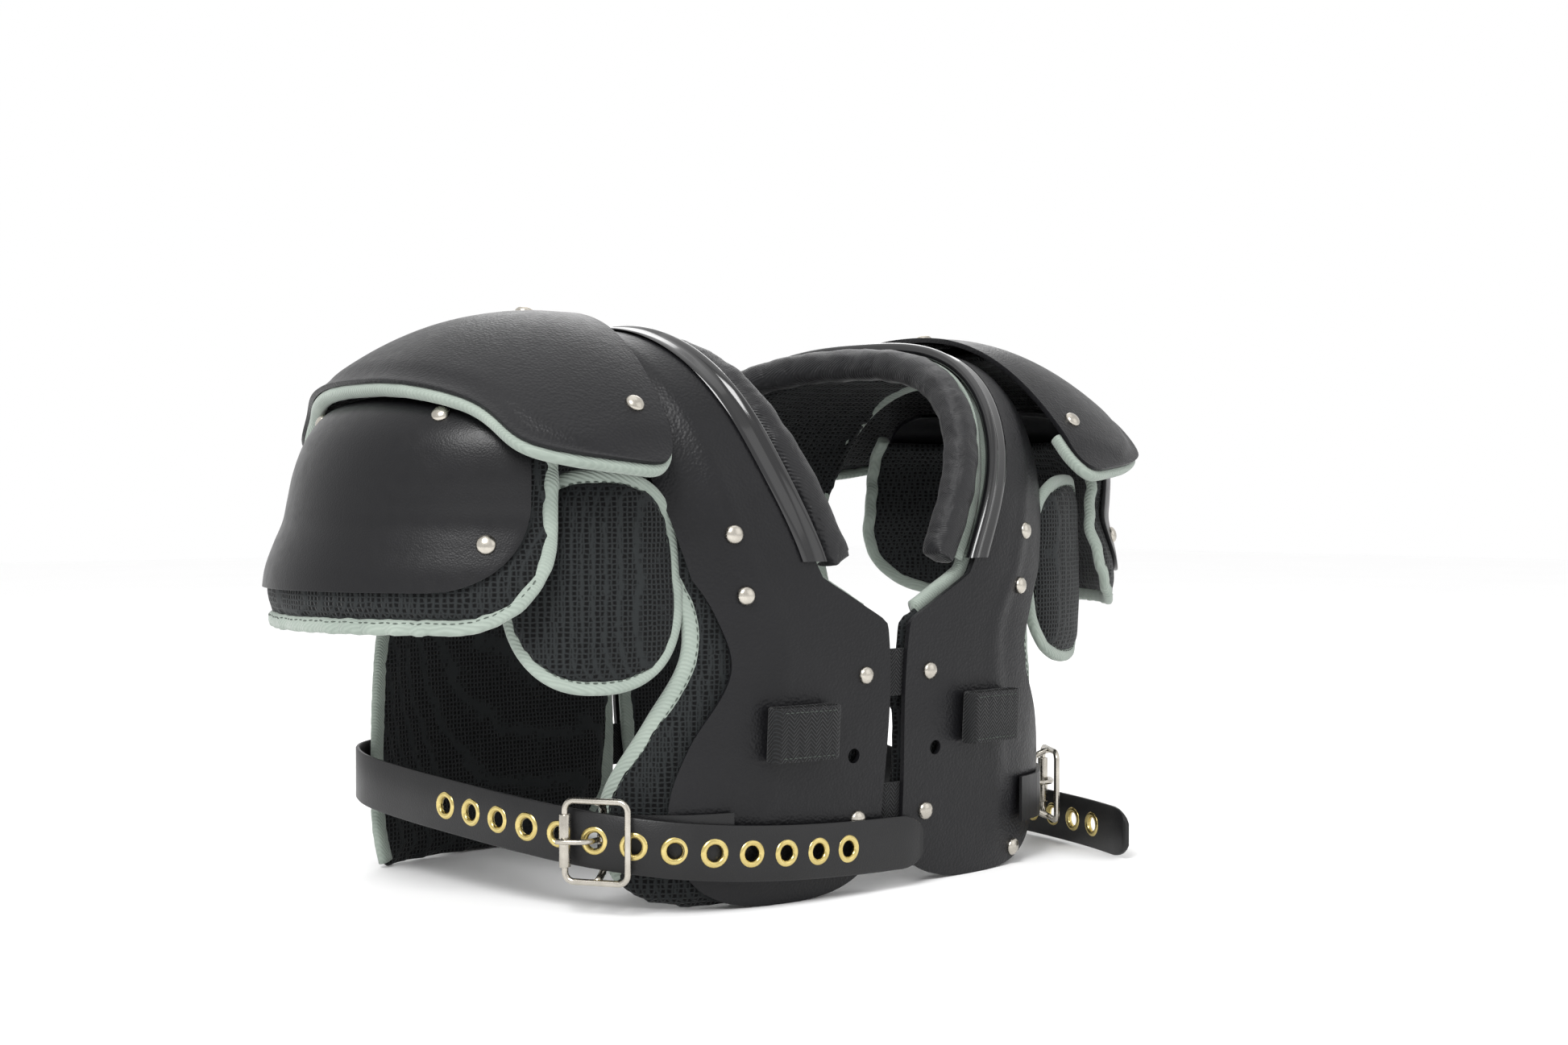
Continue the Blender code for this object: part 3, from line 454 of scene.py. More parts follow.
def add(tree: bpy.types.NodeTree, kind: str, settings: Optional[Dict[str, object]] = None,
        inputs: Optional[Dict[object, object]] = None) -> bpy.types.Node:
    """Add a node with its settings, values and links.

    Args:
        tree: The tree that it goes in.
        kind: The node's type.
        settings: Properties of the node.
        inputs: Values or output sockets for its inputs, by name or index.

    Returns:
        The new node.
    """
    node = tree.nodes.new(kind)
    for key, value in (settings or {}).items():
        setattr(node, key, value)
    for key, value in (inputs or {}).items():
        if isinstance(value, bpy.types.NodeSocket):
            tree.links.new(value, node.inputs[key])
        else:
            node.inputs[key].default_value = value
    return node


def blended(
    tree: bpy.types.NodeTree, share: bpy.types.NodeSocket, low: str, high: str,
) -> bpy.types.NodeSocket:
    """A colour between two hex colours, by a share."""
    ramp = add(tree, "ShaderNodeValToRGB", inputs={0: share})
    ramp.color_ramp.elements[0].color = linear(low)
    ramp.color_ramp.elements[1].color = linear(high)
    return ramp.outputs[0]


def ranged(
    tree: bpy.types.NodeTree, value: bpy.types.NodeSocket, low: float, high: float,
) -> bpy.types.NodeSocket:
    """A 0 to 1 value spread from low to high."""
    made = add(tree, "ShaderNodeMapRange", inputs={0: value, 3: low, 4: high})
    return made.outputs[0]


def computed(tree: bpy.types.NodeTree, operation: str, *values: object) -> bpy.types.NodeSocket:
    """The output of a Math node."""
    inputs = {k: v for k, v in enumerate(values)}
    return add(tree, "ShaderNodeMath", {"operation": operation}, inputs).outputs[0]


@dataclass(frozen=True)
class Finish:
    """The base of a finish: a named material whose tree is made once."""

    name: str
    roughness: float = 0.5
    metallic: float = 0.0
    coat: float = 0.0
    sheen: float = 0.0
    specular: float = 0.3

    def material(self) -> bpy.types.Material:
        """The finish's material, made on first use."""
        made = bpy.data.materials.get(self.name)
        if made:
            return made
        made = bpy.data.materials.new(self.name)
        made.use_nodes = True
        tree = made.node_tree
        shader = tree.nodes["Principled BSDF"]
        shader.inputs["Roughness"].default_value = self.roughness
        shader.inputs["Metallic"].default_value = self.metallic
        shader.inputs["Coat Weight"].default_value = self.coat
        shader.inputs["Coat Roughness"].default_value = 0.12
        shader.inputs["Sheen Weight"].default_value = self.sheen
        shader.inputs["Sheen Roughness"].default_value = 0.45
        if not self.metallic:
            shader.inputs["Specular IOR Level"].default_value = self.specular
        place = add(tree, "ShaderNodeTexCoord").outputs["Object"]
        self.dress(tree, shader, place)
        return made

    def dress(self, tree: bpy.types.NodeTree, shader: bpy.types.Node, place: bpy.types.NodeSocket) -> None:
        """Build the finish's colour, roughness and relief."""
        raise NotImplementedError

    def relief(self, tree: bpy.types.NodeTree, shader: bpy.types.Node, height: bpy.types.NodeSocket,
               depth_mm: float, strength: float = 1.0) -> None:
        """Link a height to the shader's normal, at a depth in millimetres."""
        bump = add(tree, "ShaderNodeBump", inputs={
            "Strength": strength, "Distance": depth_mm / 1000, "Height": height,
        })
        tree.links.new(bump.outputs[0], shader.inputs["Normal"])

    def on(self, piece: bpy.types.Object) -> bpy.types.Object:
        """Put the finish on a piece or a CAD node."""
        piece.data.materials.clear()
        piece.data.materials.append(self.material())
        return piece


@dataclass(frozen=True)
class GrainedPlastic(Finish):
    """Polyethylene moulded against an etched tool: a leather-like grain that breaks up the gloss."""

    colour: str = "#161618"
    scuffed: str = "#232326"
    grain_mm: float = 1.5
    grain_depth_mm: float = 0.22

    def dress(self, tree: bpy.types.NodeTree, shader: bpy.types.Node, place: bpy.types.NodeSocket) -> None:
        """Fine pebbles over slow changes of colour and gloss."""
        pebble = add(tree, "ShaderNodeTexVoronoi", {"feature": "SMOOTH_F1"}, {
            "Vector": place, "Scale": 1000 / self.grain_mm, "Smoothness": 0.6,
        }).outputs["Distance"]
        slow = add(tree, "ShaderNodeTexNoise", inputs={"Vector": place, "Scale": 22.0, "Detail": 6.0})
        rub = add(tree, "ShaderNodeTexNoise", inputs={"Vector": place, "Scale": 160.0, "Detail": 3.0})
        tree.links.new(blended(tree, slow.outputs[0], self.colour, self.scuffed), shader.inputs["Base Color"])
        gloss = ranged(tree, rub.outputs[0], self.roughness - 0.09, self.roughness + 0.09)
        tree.links.new(gloss, shader.inputs["Roughness"])
        height = computed(tree, "MULTIPLY_ADD", rub.outputs[0], 0.35, pebble)
        self.relief(tree, shader, height, self.grain_depth_mm)


@dataclass(frozen=True)
class PolishedPlastic(Finish):
    """Extruded vinyl channel: a mirror-like skin with faint draw lines."""

    colour: str = "#0B0B0C"

    def dress(self, tree: bpy.types.NodeTree, shader: bpy.types.Node, place: bpy.types.NodeSocket) -> None:
        """Slow waviness under a clear gloss."""
        slow = add(tree, "ShaderNodeTexNoise", inputs={"Vector": place, "Scale": 60.0, "Detail": 2.0})
        tree.links.new(blended(tree, slow.outputs[0], self.colour, "#141416"), shader.inputs["Base Color"])
        gloss = ranged(tree, slow.outputs[0], self.roughness - 0.04, self.roughness + 0.06)
        tree.links.new(gloss, shader.inputs["Roughness"])
        self.relief(tree, shader, slow.outputs[0], 0.10, 0.5)


@dataclass(frozen=True)
class SpacerMesh(Finish):
    """Warp-knitted polyester spacer: an open honeycomb of dull threads over a dark gap."""

    thread: str = "#1E2122"
    gap: str = "#040405"
    cell_mm: float = 2.6

    def dress(self, tree: bpy.types.NodeTree, shader: bpy.types.Node, place: bpy.types.NodeSocket) -> None:
        """Honeycomb cells, drawn at 2.6 mm where the real ones are about 2 mm, so that they show."""
        cells = add(tree, "ShaderNodeTexVoronoi", {"feature": "DISTANCE_TO_EDGE"}, {
            "Vector": place, "Scale": 1000 / self.cell_mm, "Randomness": 0.22,
        }).outputs["Distance"]
        open_part = add(tree, "ShaderNodeMapRange", inputs={0: cells, 1: 0.08, 2: 0.26}).outputs[0]
        tree.links.new(blended(tree, open_part, self.thread, self.gap), shader.inputs["Base Color"])
        tree.links.new(ranged(tree, open_part, self.roughness - 0.12, 0.95), shader.inputs["Roughness"])
        self.relief(tree, shader, computed(tree, "SUBTRACT", 1.0, open_part), 0.5)


@dataclass(frozen=True)
class BindingTape(Finish):
    """Folded polyester tape: close cross ribs, a soft bloom and faint soiling."""

    light: str = "#9AA49B"
    dark: str = "#77827A"
    rib_mm: float = 1.1

    def dress(self, tree: bpy.types.NodeTree, shader: bpy.types.Node, place: bpy.types.NodeSocket) -> None:
        """Ribs of the tape and a slow change of shade."""
        ribs = add(tree, "ShaderNodeTexWave", {"wave_type": "BANDS", "bands_direction": "DIAGONAL"}, {
            "Vector": place, "Scale": 314.0 / self.rib_mm, "Distortion": 0.6, "Detail": 1.0,
        }).outputs[1]
        slow = add(tree, "ShaderNodeTexNoise", inputs={"Vector": place, "Scale": 45.0, "Detail": 5.0})
        share = computed(tree, "MULTIPLY_ADD", ribs, 0.22, slow.outputs[0])
        tree.links.new(blended(tree, share, self.dark, self.light), shader.inputs["Base Color"])
        tree.links.new(ranged(tree, slow.outputs[0], 0.70, 0.9), shader.inputs["Roughness"])
        self.relief(tree, shader, computed(tree, "MULTIPLY_ADD", slow.outputs[0], 1.6, ribs), 0.25)


@dataclass(frozen=True)
class SatinNylon(Finish):
    """Packcloth: a close flat weave with a low satin shine and small puckers."""

    colour: str = "#0C0C0E"
    worn: str = "#17171A"

    def dress(self, tree: bpy.types.NodeTree, shader: bpy.types.Node, place: bpy.types.NodeSocket) -> None:
        """Weave at 0.9 mm and soft creases of 12 mm or so."""
        weave = add(tree, "ShaderNodeTexWave", {"wave_type": "BANDS", "bands_direction": "DIAGONAL"}, {
            "Vector": place, "Scale": 349.0, "Distortion": 1.0, "Detail": 1.0,
        }).outputs[1]
        crease = add(tree, "ShaderNodeTexNoise", inputs={
            "Vector": place, "Scale": 75.0, "Detail": 3.0, "Distortion": 1.1,
        })
        tree.links.new(blended(tree, crease.outputs[0], self.colour, self.worn), shader.inputs["Base Color"])
        tree.links.new(ranged(tree, crease.outputs[0], 0.34, 0.56), shader.inputs["Roughness"])
        height = computed(tree, "MULTIPLY_ADD", weave, 0.10, crease.outputs[0])
        self.relief(tree, shader, height, 2.2, 0.8)


@dataclass(frozen=True)
class HerringboneWebbing(Finish):
    """Woven polypropylene webbing: rows of slanted floats that turn back every few millimetres."""

    light: str = "#1D1F21"
    dark: str = "#070708"
    row_mm: float = 7.0
    float_mm: float = 2.0

    def dress(self, tree: bpy.types.NodeTree, shader: bpy.types.Node, place: bpy.types.NodeSocket) -> None:
        """Zigzag ribs across the strap."""
        parts = add(tree, "ShaderNodeSeparateXYZ", inputs={0: place})
        turned = computed(tree, "PINGPONG", computed(tree, "ADD", parts.outputs[0], 1.0), self.row_mm / 2000)
        along = computed(tree, "ADD", computed(tree, "ADD", parts.outputs[1], parts.outputs[2]), turned)
        ribs = computed(tree, "SINE", computed(tree, "MULTIPLY", along, 2 * math.pi * 1000 / self.float_mm))
        share = ranged(tree, ribs, 0.0, 1.0)
        fuzz = add(tree, "ShaderNodeTexNoise", inputs={"Vector": place, "Scale": 900.0, "Detail": 2.0})
        tree.links.new(blended(tree, share, self.dark, self.light), shader.inputs["Base Color"])
        tree.links.new(ranged(tree, fuzz.outputs[0], 0.6, 0.9), shader.inputs["Roughness"])
        self.relief(tree, shader, computed(tree, "MULTIPLY_ADD", fuzz.outputs[0], 0.4, share), 0.4)


@dataclass(frozen=True)
class CoatedStrap(Finish):
    """Polyester belt coated in vinyl: smooth and even, with a soft shine and light creases."""

    colour: str = "#121213"
    edge: str = "#1F1F20"

    def dress(self, tree: bpy.types.NodeTree, shader: bpy.types.Node, place: bpy.types.NodeSocket) -> None:
        """A fine pore and slow rubbing marks."""
        pore = add(tree, "ShaderNodeTexNoise", inputs={"Vector": place, "Scale": 1300.0, "Detail": 2.0})
        slow = add(tree, "ShaderNodeTexNoise", inputs={"Vector": place, "Scale": 35.0, "Detail": 6.0})
        tree.links.new(blended(tree, slow.outputs[0], self.colour, self.edge), shader.inputs["Base Color"])
        gloss = ranged(tree, slow.outputs[0], self.roughness - 0.12, self.roughness + 0.1)
        tree.links.new(gloss, shader.inputs["Roughness"])
        height = computed(tree, "MULTIPLY_ADD", slow.outputs[0], 1.5, pore.outputs[0])
        self.relief(tree, shader, height, 0.12)


@dataclass(frozen=True)
class PlatedMetal(Finish):
    """Plated sheet or wire: a bright metal with faint polishing marks and a little tarnish."""

    bright: str = "#CBC6BC"
    tarnish: str = "#9A958C"

    def dress(self, tree: bpy.types.NodeTree, shader: bpy.types.Node, place: bpy.types.NodeSocket) -> None:
        """Tarnish in slow patches and fine scratches in the gloss."""
        slow = add(tree, "ShaderNodeTexNoise", inputs={"Vector": place, "Scale": 180.0, "Detail": 4.0})
        fine = add(tree, "ShaderNodeTexNoise", inputs={"Vector": place, "Scale": 1800.0, "Detail": 2.0})
        tree.links.new(blended(tree, slow.outputs[0], self.tarnish, self.bright), shader.inputs["Base Color"])
        gloss = ranged(tree, fine.outputs[0], self.roughness - 0.07, self.roughness + 0.1)
        tree.links.new(gloss, shader.inputs["Roughness"])
        self.relief(tree, shader, fine.outputs[0], 0.03, 0.6)


@dataclass(frozen=True)
class Thread(Finish):
    """Bonded nylon sewing thread: two plies twisted together, with a slight wax shine."""

    colour: str = "#3B423D"

    def dress(self, tree: bpy.types.NodeTree, shader: bpy.types.Node, place: bpy.types.NodeSocket) -> None:
        """The twist of the plies."""
        twist = add(tree, "ShaderNodeTexWave", inputs={"Vector": place, "Scale": 700.0}).outputs[1]
        tree.links.new(blended(tree, twist, self.colour, "#59625B"), shader.inputs["Base Color"])
        self.relief(tree, shader, twist, 0.1)


@dataclass(frozen=True)
class MattPaint(Finish):
    """The studio floor: an even pale paint."""

    colour: str = "#FBFBFB"

    def dress(self, tree: bpy.types.NodeTree, shader: bpy.types.Node, place: bpy.types.NodeSocket) -> None:
        """A faint unevenness."""
        slow = add(tree, "ShaderNodeTexNoise", inputs={"Vector": place, "Scale": 3.0})
        tree.links.new(blended(tree, slow.outputs[0], self.colour, "#FEFEFE"), shader.inputs["Base Color"])


SHELL = GrainedPlastic(
    "moulded_polyethylene_grained", roughness=0.40, specular=0.22, colour="#0F0F11", scuffed="#1A1A1C",
)
CUP_SHELL = GrainedPlastic(
    "moulded_polyethylene_fine", roughness=0.34, specular=0.26, colour="#0D0D0F", scuffed="#161618",
    grain_mm=0.9, grain_depth_mm=0.07,
)
TRIM = PolishedPlastic("extruded_vinyl_polished", roughness=0.12, coat=0.6)
MESH = SpacerMesh("knitted_spacer_mesh", roughness=0.8, sheen=0.08, specular=0.2)
TAPE = BindingTape("woven_binding_tape", roughness=0.8, sheen=0.25)
SATIN = SatinNylon("woven_satin_nylon", roughness=0.42, sheen=0.1, specular=0.35)
WEBBING = HerringboneWebbing("woven_herringbone_webbing", roughness=0.75, sheen=0.1)
STRAP = CoatedStrap("vinyl_coated_polyester", roughness=0.42)
NICKEL = PlatedMetal("nickel_plated_steel", roughness=0.24, metallic=1.0)
BRASS = PlatedMetal("rolled_brass", roughness=0.22, metallic=1.0, bright="#DCCB8C", tarnish="#B39F5F")
THREAD = Thread("bonded_nylon_thread", roughness=0.6)
DARK_THREAD = Thread("bonded_nylon_thread_black", roughness=0.6, colour="#0A0A0B")
FLOOR = MattPaint("matt_studio_paint", roughness=0.85)


# ------------------------------------------------------------------ repeated hardware


class Hardware(Enum):
    """The small things that repeat over the pads."""

    DOME_RIVET = "dome_rivet"
    ROLLED_EYELET = "rolled_eyelet"
    STITCH = "stitch"


@dataclass
class Scatter:
    """Copies of one small thing on points, each turned to face a direction, made with Geometry Nodes."""

    kind: Hardware
    finish: Finish
    radius: float
    height: float
    seed: int = 7

    def shape(self, tree: bpy.types.NodeTree, group: bpy.types.Node) -> bpy.types.NodeSocket:
        """The thing itself, at its own origin with its axis along +Z."""
        radius, height = group.outputs["Radius"], group.outputs["Height"]
        if self.kind is Hardware.ROLLED_EYELET:
            ring = add(tree, "GeometryNodeCurvePrimitiveCircle", inputs={"Resolution": 28, "Radius": radius})
            roll = add(tree, "GeometryNodeCurvePrimitiveCircle", inputs={"Resolution": 10, "Radius": height})
            made = add(tree, "GeometryNodeCurveToMesh", inputs={0: ring.outputs[0], 1: roll.outputs[0]})
            return made.outputs[0]
        segments = 20 if self.kind is Hardware.DOME_RIVET else 6
        rings = 10 if self.kind is Hardware.DOME_RIVET else 4
        ball = add(tree, "GeometryNodeMeshUVSphere", inputs={
            "Segments": segments, "Rings": rings, "Radius": 1.0,
        })
        size = add(tree, "ShaderNodeCombineXYZ", inputs={0: radius, 1: radius, 2: height})
        moved = add(tree, "GeometryNodeTransform", inputs={0: ball.outputs[0], "Scale": size.outputs[0]})
        return moved.outputs[0]

    def tree(self) -> bpy.types.NodeTree:
        """The node tree: place, turn, vary a little, realise and dress."""
        name = f"scatter_{self.kind.value}_{self.finish.name}"
        tree = bpy.data.node_groups.new(name, "GeometryNodeTree")
        face = tree.interface
        face.new_socket("Geometry", in_out="INPUT", socket_type="NodeSocketGeometry")
        face.new_socket("Radius", in_out="INPUT", socket_type="NodeSocketFloat")
        face.new_socket("Height", in_out="INPUT", socket_type="NodeSocketFloat")
        face.new_socket("Seed", in_out="INPUT", socket_type="NodeSocketInt")
        face.new_socket("Geometry", in_out="OUTPUT", socket_type="NodeSocketGeometry")
        group = add(tree, "NodeGroupInput")
        facing = add(tree, "GeometryNodeInputNamedAttribute", {"data_type": "FLOAT_VECTOR"}, {0: "facing"})
        turn = add(tree, "FunctionNodeAlignRotationToVector", {"axis": "Z"}, {"Vector": facing.outputs[0]})
        vary = add(tree, "FunctionNodeRandomValue", {"data_type": "FLOAT"}, {
            2: 0.97, 3: 1.03, "Seed": group.outputs["Seed"],
        })
        copies = add(tree, "GeometryNodeInstanceOnPoints", inputs={
            "Points": group.outputs["Geometry"], "Instance": self.shape(tree, group),
            "Rotation": turn.outputs[0], "Scale": vary.outputs[1],
        })
        real = add(tree, "GeometryNodeRealizeInstances", inputs={0: copies.outputs[0]})
        smooth_faces = add(tree, "GeometryNodeSetShadeSmooth", inputs={0: real.outputs[0]})
        dressed = add(tree, "GeometryNodeSetMaterial", inputs={
            "Geometry": smooth_faces.outputs[0], "Material": self.finish.material(),
        })
        add(tree, "NodeGroupOutput", inputs={0: dressed.outputs[0]})
        return tree

    def make(self, name: str, spots: Sequence[Tuple[Vector, Vector]], side: Side, body: str) -> bpy.types.Object:
        """Place the copies and return them as one plain mesh that rides on a body.

        Args:
            name: The object's name.
            spots: (place, facing direction) of each copy, made for +X.
            side: The side that they are for.
            body: The body that they ride on.

        Returns:
            The finished object.
        """
        mesh = bpy.data.meshes.new(name)
        mesh.from_pydata([tuple(mirrored(p, side)) for p, _ in spots], [], [])
        facing = mesh.attributes.new("facing", "FLOAT_VECTOR", "POINT")
        for item, (_, way) in zip(facing.data, spots):
            item.vector = mirrored(way, side)
        made = bpy.data.objects.new(name, mesh)
        bpy.context.scene.collection.objects.link(made)
        step = made.modifiers.new("scatter", "NODES")
        step.node_group = self.tree()
        values = {"Radius": self.radius, "Height": self.height, "Seed": self.seed}
        for socket in step.node_group.interface.items_tree:
            if socket.in_out == "INPUT" and socket.name in values:
                step[socket.identifier] = values[socket.name]
        settled(made)
        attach(made, body)
        return made


# ------------------------------------------------------------------ shells and neckline


def ride_and_mark(
    piece: bpy.types.Object, finish: Finish, body: str, slot: str, *nodes: str,
) -> bpy.types.Object:
    """Dress a piece, let it ride on a body and hide the CAD nodes that it stands for.

    Args:
        piece: The finished object.
        finish: Its finish.
        body: The body that it rides on.
        slot: Not used.
        nodes: The CAD nodes that it replaces.

    Returns:
        The same object.
    """
    finish.on(piece)
    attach(piece, body)
    if nodes:
        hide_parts(*nodes)
    LOG.info("%s: %d faces on %s", piece.name, len(piece.data.polygons), body)
    return piece


@dataclass
class ArchPlates:
    """One arch: the grained shell from the chest over the shoulder to the back, and its neck trim."""

    side: Side
    wall: float = 0.003
    ridge_width: float = 0.0055
    ridge_height: float = 0.0011
    lace_x: float = 0.030
    lace_t: float = 0.44
    lace_radius: float = 0.004
    trim_outline: Tuple[Tuple[float, float], ...] = (
        (-0.0058, 0.0004), (-0.0064, 0.0022), (-0.0062, 0.0044), (-0.0050, 0.0062), (-0.0034, 0.0068),
        (-0.0018, 0.0064), (-0.0006, 0.0054), (0.0004, 0.0048), (0.0020, 0.0046), (0.0060, 0.0049),
        (0.0086, 0.0047), (0.0093, 0.0041), (0.0090, 0.0036), (-0.0007, 0.0036), (-0.0008, 0.0006),
        (-0.0030, -0.0006), (-0.0046, -0.0004),
    )

    def ridge(self, x: float, t: float) -> float:
        """The soft moulded ridge that runs down the chest beside the neckline."""
        strength = eased_step(0.02, 0.2, t) * (1 - eased_step(1.9, 2.1, t))
        line = 0.086 - 0.010 * eased_step(0.2, 0.9, t) + 0.054 * eased_step(0.75, 1.35, t)
        if t > 1.5:
            line -= 0.012 * eased_step(1.5, 2.0, t)
        off = (x - line) / self.ridge_width
        fall = eased_step(-1.4, 1.4, off)
        return strength * (self.ridge_height * math.exp(-off * off) - 0.0007 * fall)

    def shell(self) -> bpy.types.Object:
        """The arch shell, with its rounded rim, ridge and lace hole."""
        rows = [0.16 * s * s for s in spaced(0, 1, 17)]
        for start, end, count in (
            (0.16, 0.30, 9), (0.30, 1.0, 38), (1.0, 2.0, 64), (2.0, 2.7, 26), (2.7, 3.0, 16),
        ):
            rows += spaced(start, end, count)[1:]
        outer, inner = [], []
        for t in rows:
            low, high = smooth(SHELL_INNER, t), smooth(SHELL_OUTER, t)
            across = [low + (high - low) * v for v in eased(34)]
            outer.append([TORSO.off(x, t, self.wall + self.ridge(x, t)) for x in across])
            inner.append([TORSO.off(x, t, 0.0) for x in across])
        made = wall(f"arch_plate_{self.side.word}", outer, inner, self.side, 0.0011)
        place = mirrored(TORSO.off(self.lace_x, self.lace_t, 0.0), self.side)
        normal = mirrored(TORSO.normal(self.lace_x, self.lace_t), self.side)
        across = normal.cross(Vector((0, 0, 1))).normalized()
        turns = spaced(0, 2 * math.pi, 25)[:-1]
        ring = [(self.lace_radius * math.cos(a), self.lace_radius * math.sin(a)) for a in turns]
        frames = [(place + normal * s, across, normal.cross(across)) for s in (-0.01, 0.02)]
        cut_by(made, swept("lace_way", frames, ring, Side.LEFT))
        creased(made, PLATE_CREASE)
        node = f"arch_shell_{self.side.word}"
        return ride_and_mark(made, SHELL, "torso", "grained_shell_plastic", node)

    def trim(self) -> bpy.types.Object:
        """The polished channel that caps the neckline."""
        frames = []
        for t in spaced(1.02, 1.82, 90):
            x = smooth(SHELL_INNER, t)
            across = (TORSO.off(x + 0.002, t, 0.0) - TORSO.off(x - 0.002, t, 0.0)).normalized()
            frames.append((TORSO.off(x, t, 0.0), across, TORSO.normal(x, t)))
        made = swept(f"neckline_trim_{self.side.word}", frames, self.trim_outline, self.side)
        creased(made, TUBE_CREASE)
        node = f"neck_trim_{self.side.word}"
        return ride_and_mark(made, TRIM, "torso", "gloss_neck_trim", node)

    def build(self) -> None:
        """Make both pieces."""
        self.shell()
        self.trim()


# ------------------------------------------------------------------ liners


@dataclass
class Liner:
    """The padded liner of one arch: front and back foam pads in spacer mesh, with bound edges."""

    side: Side
    drop: float = 0.0030
    thick: float = 0.0090
    edge_thick: float = 0.0044
    swell: float = 0.0012
    tape_half_width: float = 0.0050
    tape_half_thick: float = 0.0031

    def middle(self) -> float:
        """The lift of the middle of the foam."""
        return -self.drop - self.thick / 2

    def pad(self, name: str, outer_edge: Table, rows: Sequence[float], *nodes: str) -> bpy.types.Object:
        """One foam pad between the neckline and an outer edge.

        Args:
            name: The object's name.
            outer_edge: The outer edge by path value.
            rows: The path values of its rows.
            nodes: The CAD nodes that it replaces.

        Returns:
            The finished pad.
        """
        outer, inner = [], []
        columns = eased(26)
        for k, t in enumerate(rows):
            low, high = smooth(SHELL_INNER, t) - 0.002, smooth(outer_edge, t) - 0.001
            ends = eased_step(0.0, 0.05, min(t - rows[0], rows[-1] - t))
            upper, lower = [], []
            for v in columns:
                x = low + (high - low) * v
                rim = eased_step(0.0, 0.014, min(x - low, high - x)) * (0.3 + 0.7 * ends)
                half = (self.edge_thick + (self.thick - 2 * self.swell - self.edge_thick) * rim) / 2
                upper.append(TORSO.off(x, t, self.middle() + half))
                lower.append(TORSO.off(x, t, self.middle() - half))
            outer.append(upper)
            inner.append(lower)
        made = wall(f"{name}_{self.side.word}", outer, inner, self.side)
        inflate(made, 0.0036, self.swell)

        def pucker(p: Vector, n: Vector) -> float:
            """Small hollows of quilted foam."""
            return 0.0006 * noise.noise(p * 55) + 0.0003 * noise.noise(p * 140)

        push(made, pucker)
        return ride_and_mark(made, MESH, "torso", "spacer_mesh_fabric", *nodes)

    def edge_run(self, edge: Table, rows: Sequence[float], inset: float) -> List[Frame]:
        """Frames along an edge of a pad, a little inside it."""
        places, normals = [], []
        for t in rows:
            x = smooth(edge, t) + inset
            ripple = 0.0004 * noise.noise(Vector((t * 42, inset * 900, 3.1)))
            places.append(TORSO.off(x, t, self.middle() + ripple))
            normals.append(TORSO.normal(x, t))
        return frames_along(places, lambda k: normals[k])

    def bound_edge(self, name: str, edge: Table, rows: Sequence[float], inset: float) -> None:
        """The tape folded over an edge, and the row of stitches that holds it.

        Args:
            name: The object's name.
            edge: The edge by path value.
            rows: The path values of its stations.
            inset: How far inside the edge the tape's middle lies; its sign points inwards.
        """
        frames = self.edge_run(edge, rows, inset)
        outline = oval(self.tape_half_width, self.tape_half_thick)
        tape = swept(f"{name}_{self.side.word}", frames, outline, self.side)
        ride_and_mark(tape, TAPE, "torso", "bound_foam_fabric")
        inward = 1.0 if inset > 0 else -1.0
        run = []
        for place, across, normal in frames:
            way = across if across.x * inward > 0 else -across
            run.append(place + way * (self.tape_half_width * 0.55) + normal * (self.tape_half_thick * 0.93))
        spots = even_run(run, STITCH_PITCH)
        stitches = Scatter(Hardware.STITCH, THREAD, 0.00036, 0.0014)
        stitches.make(f"{name}_stitches_{self.side.word}", spots, self.side, "torso")

    def build(self) -> None:
        """Make the pads and bind their edges."""
        word = self.side.word
        self.pad("front_liner", FRONT_PAD_OUTER, spaced(0.0, 1.47, 74), f"front_body_pad_{word}")
        self.pad("back_liner", BACK_PAD_OUTER, spaced(1.53, 3.0, 74), f"back_body_pad_{word}")
        self.bound_edge("front_liner_tape", FRONT_PAD_OUTER, spaced(0.10, 1.46, 110), -0.0042)
        self.bound_edge("back_liner_tape", BACK_PAD_OUTER, spaced(1.54, 2.98, 110), -0.0042)
        self.bound_edge("back_seam_tape", SHELL_INNER, spaced(1.98, 2.92, 60), 0.0032)
        self.bound_edge("front_neck_tape", SHELL_INNER, spaced(0.885, 1.30, 50), 0.0022)


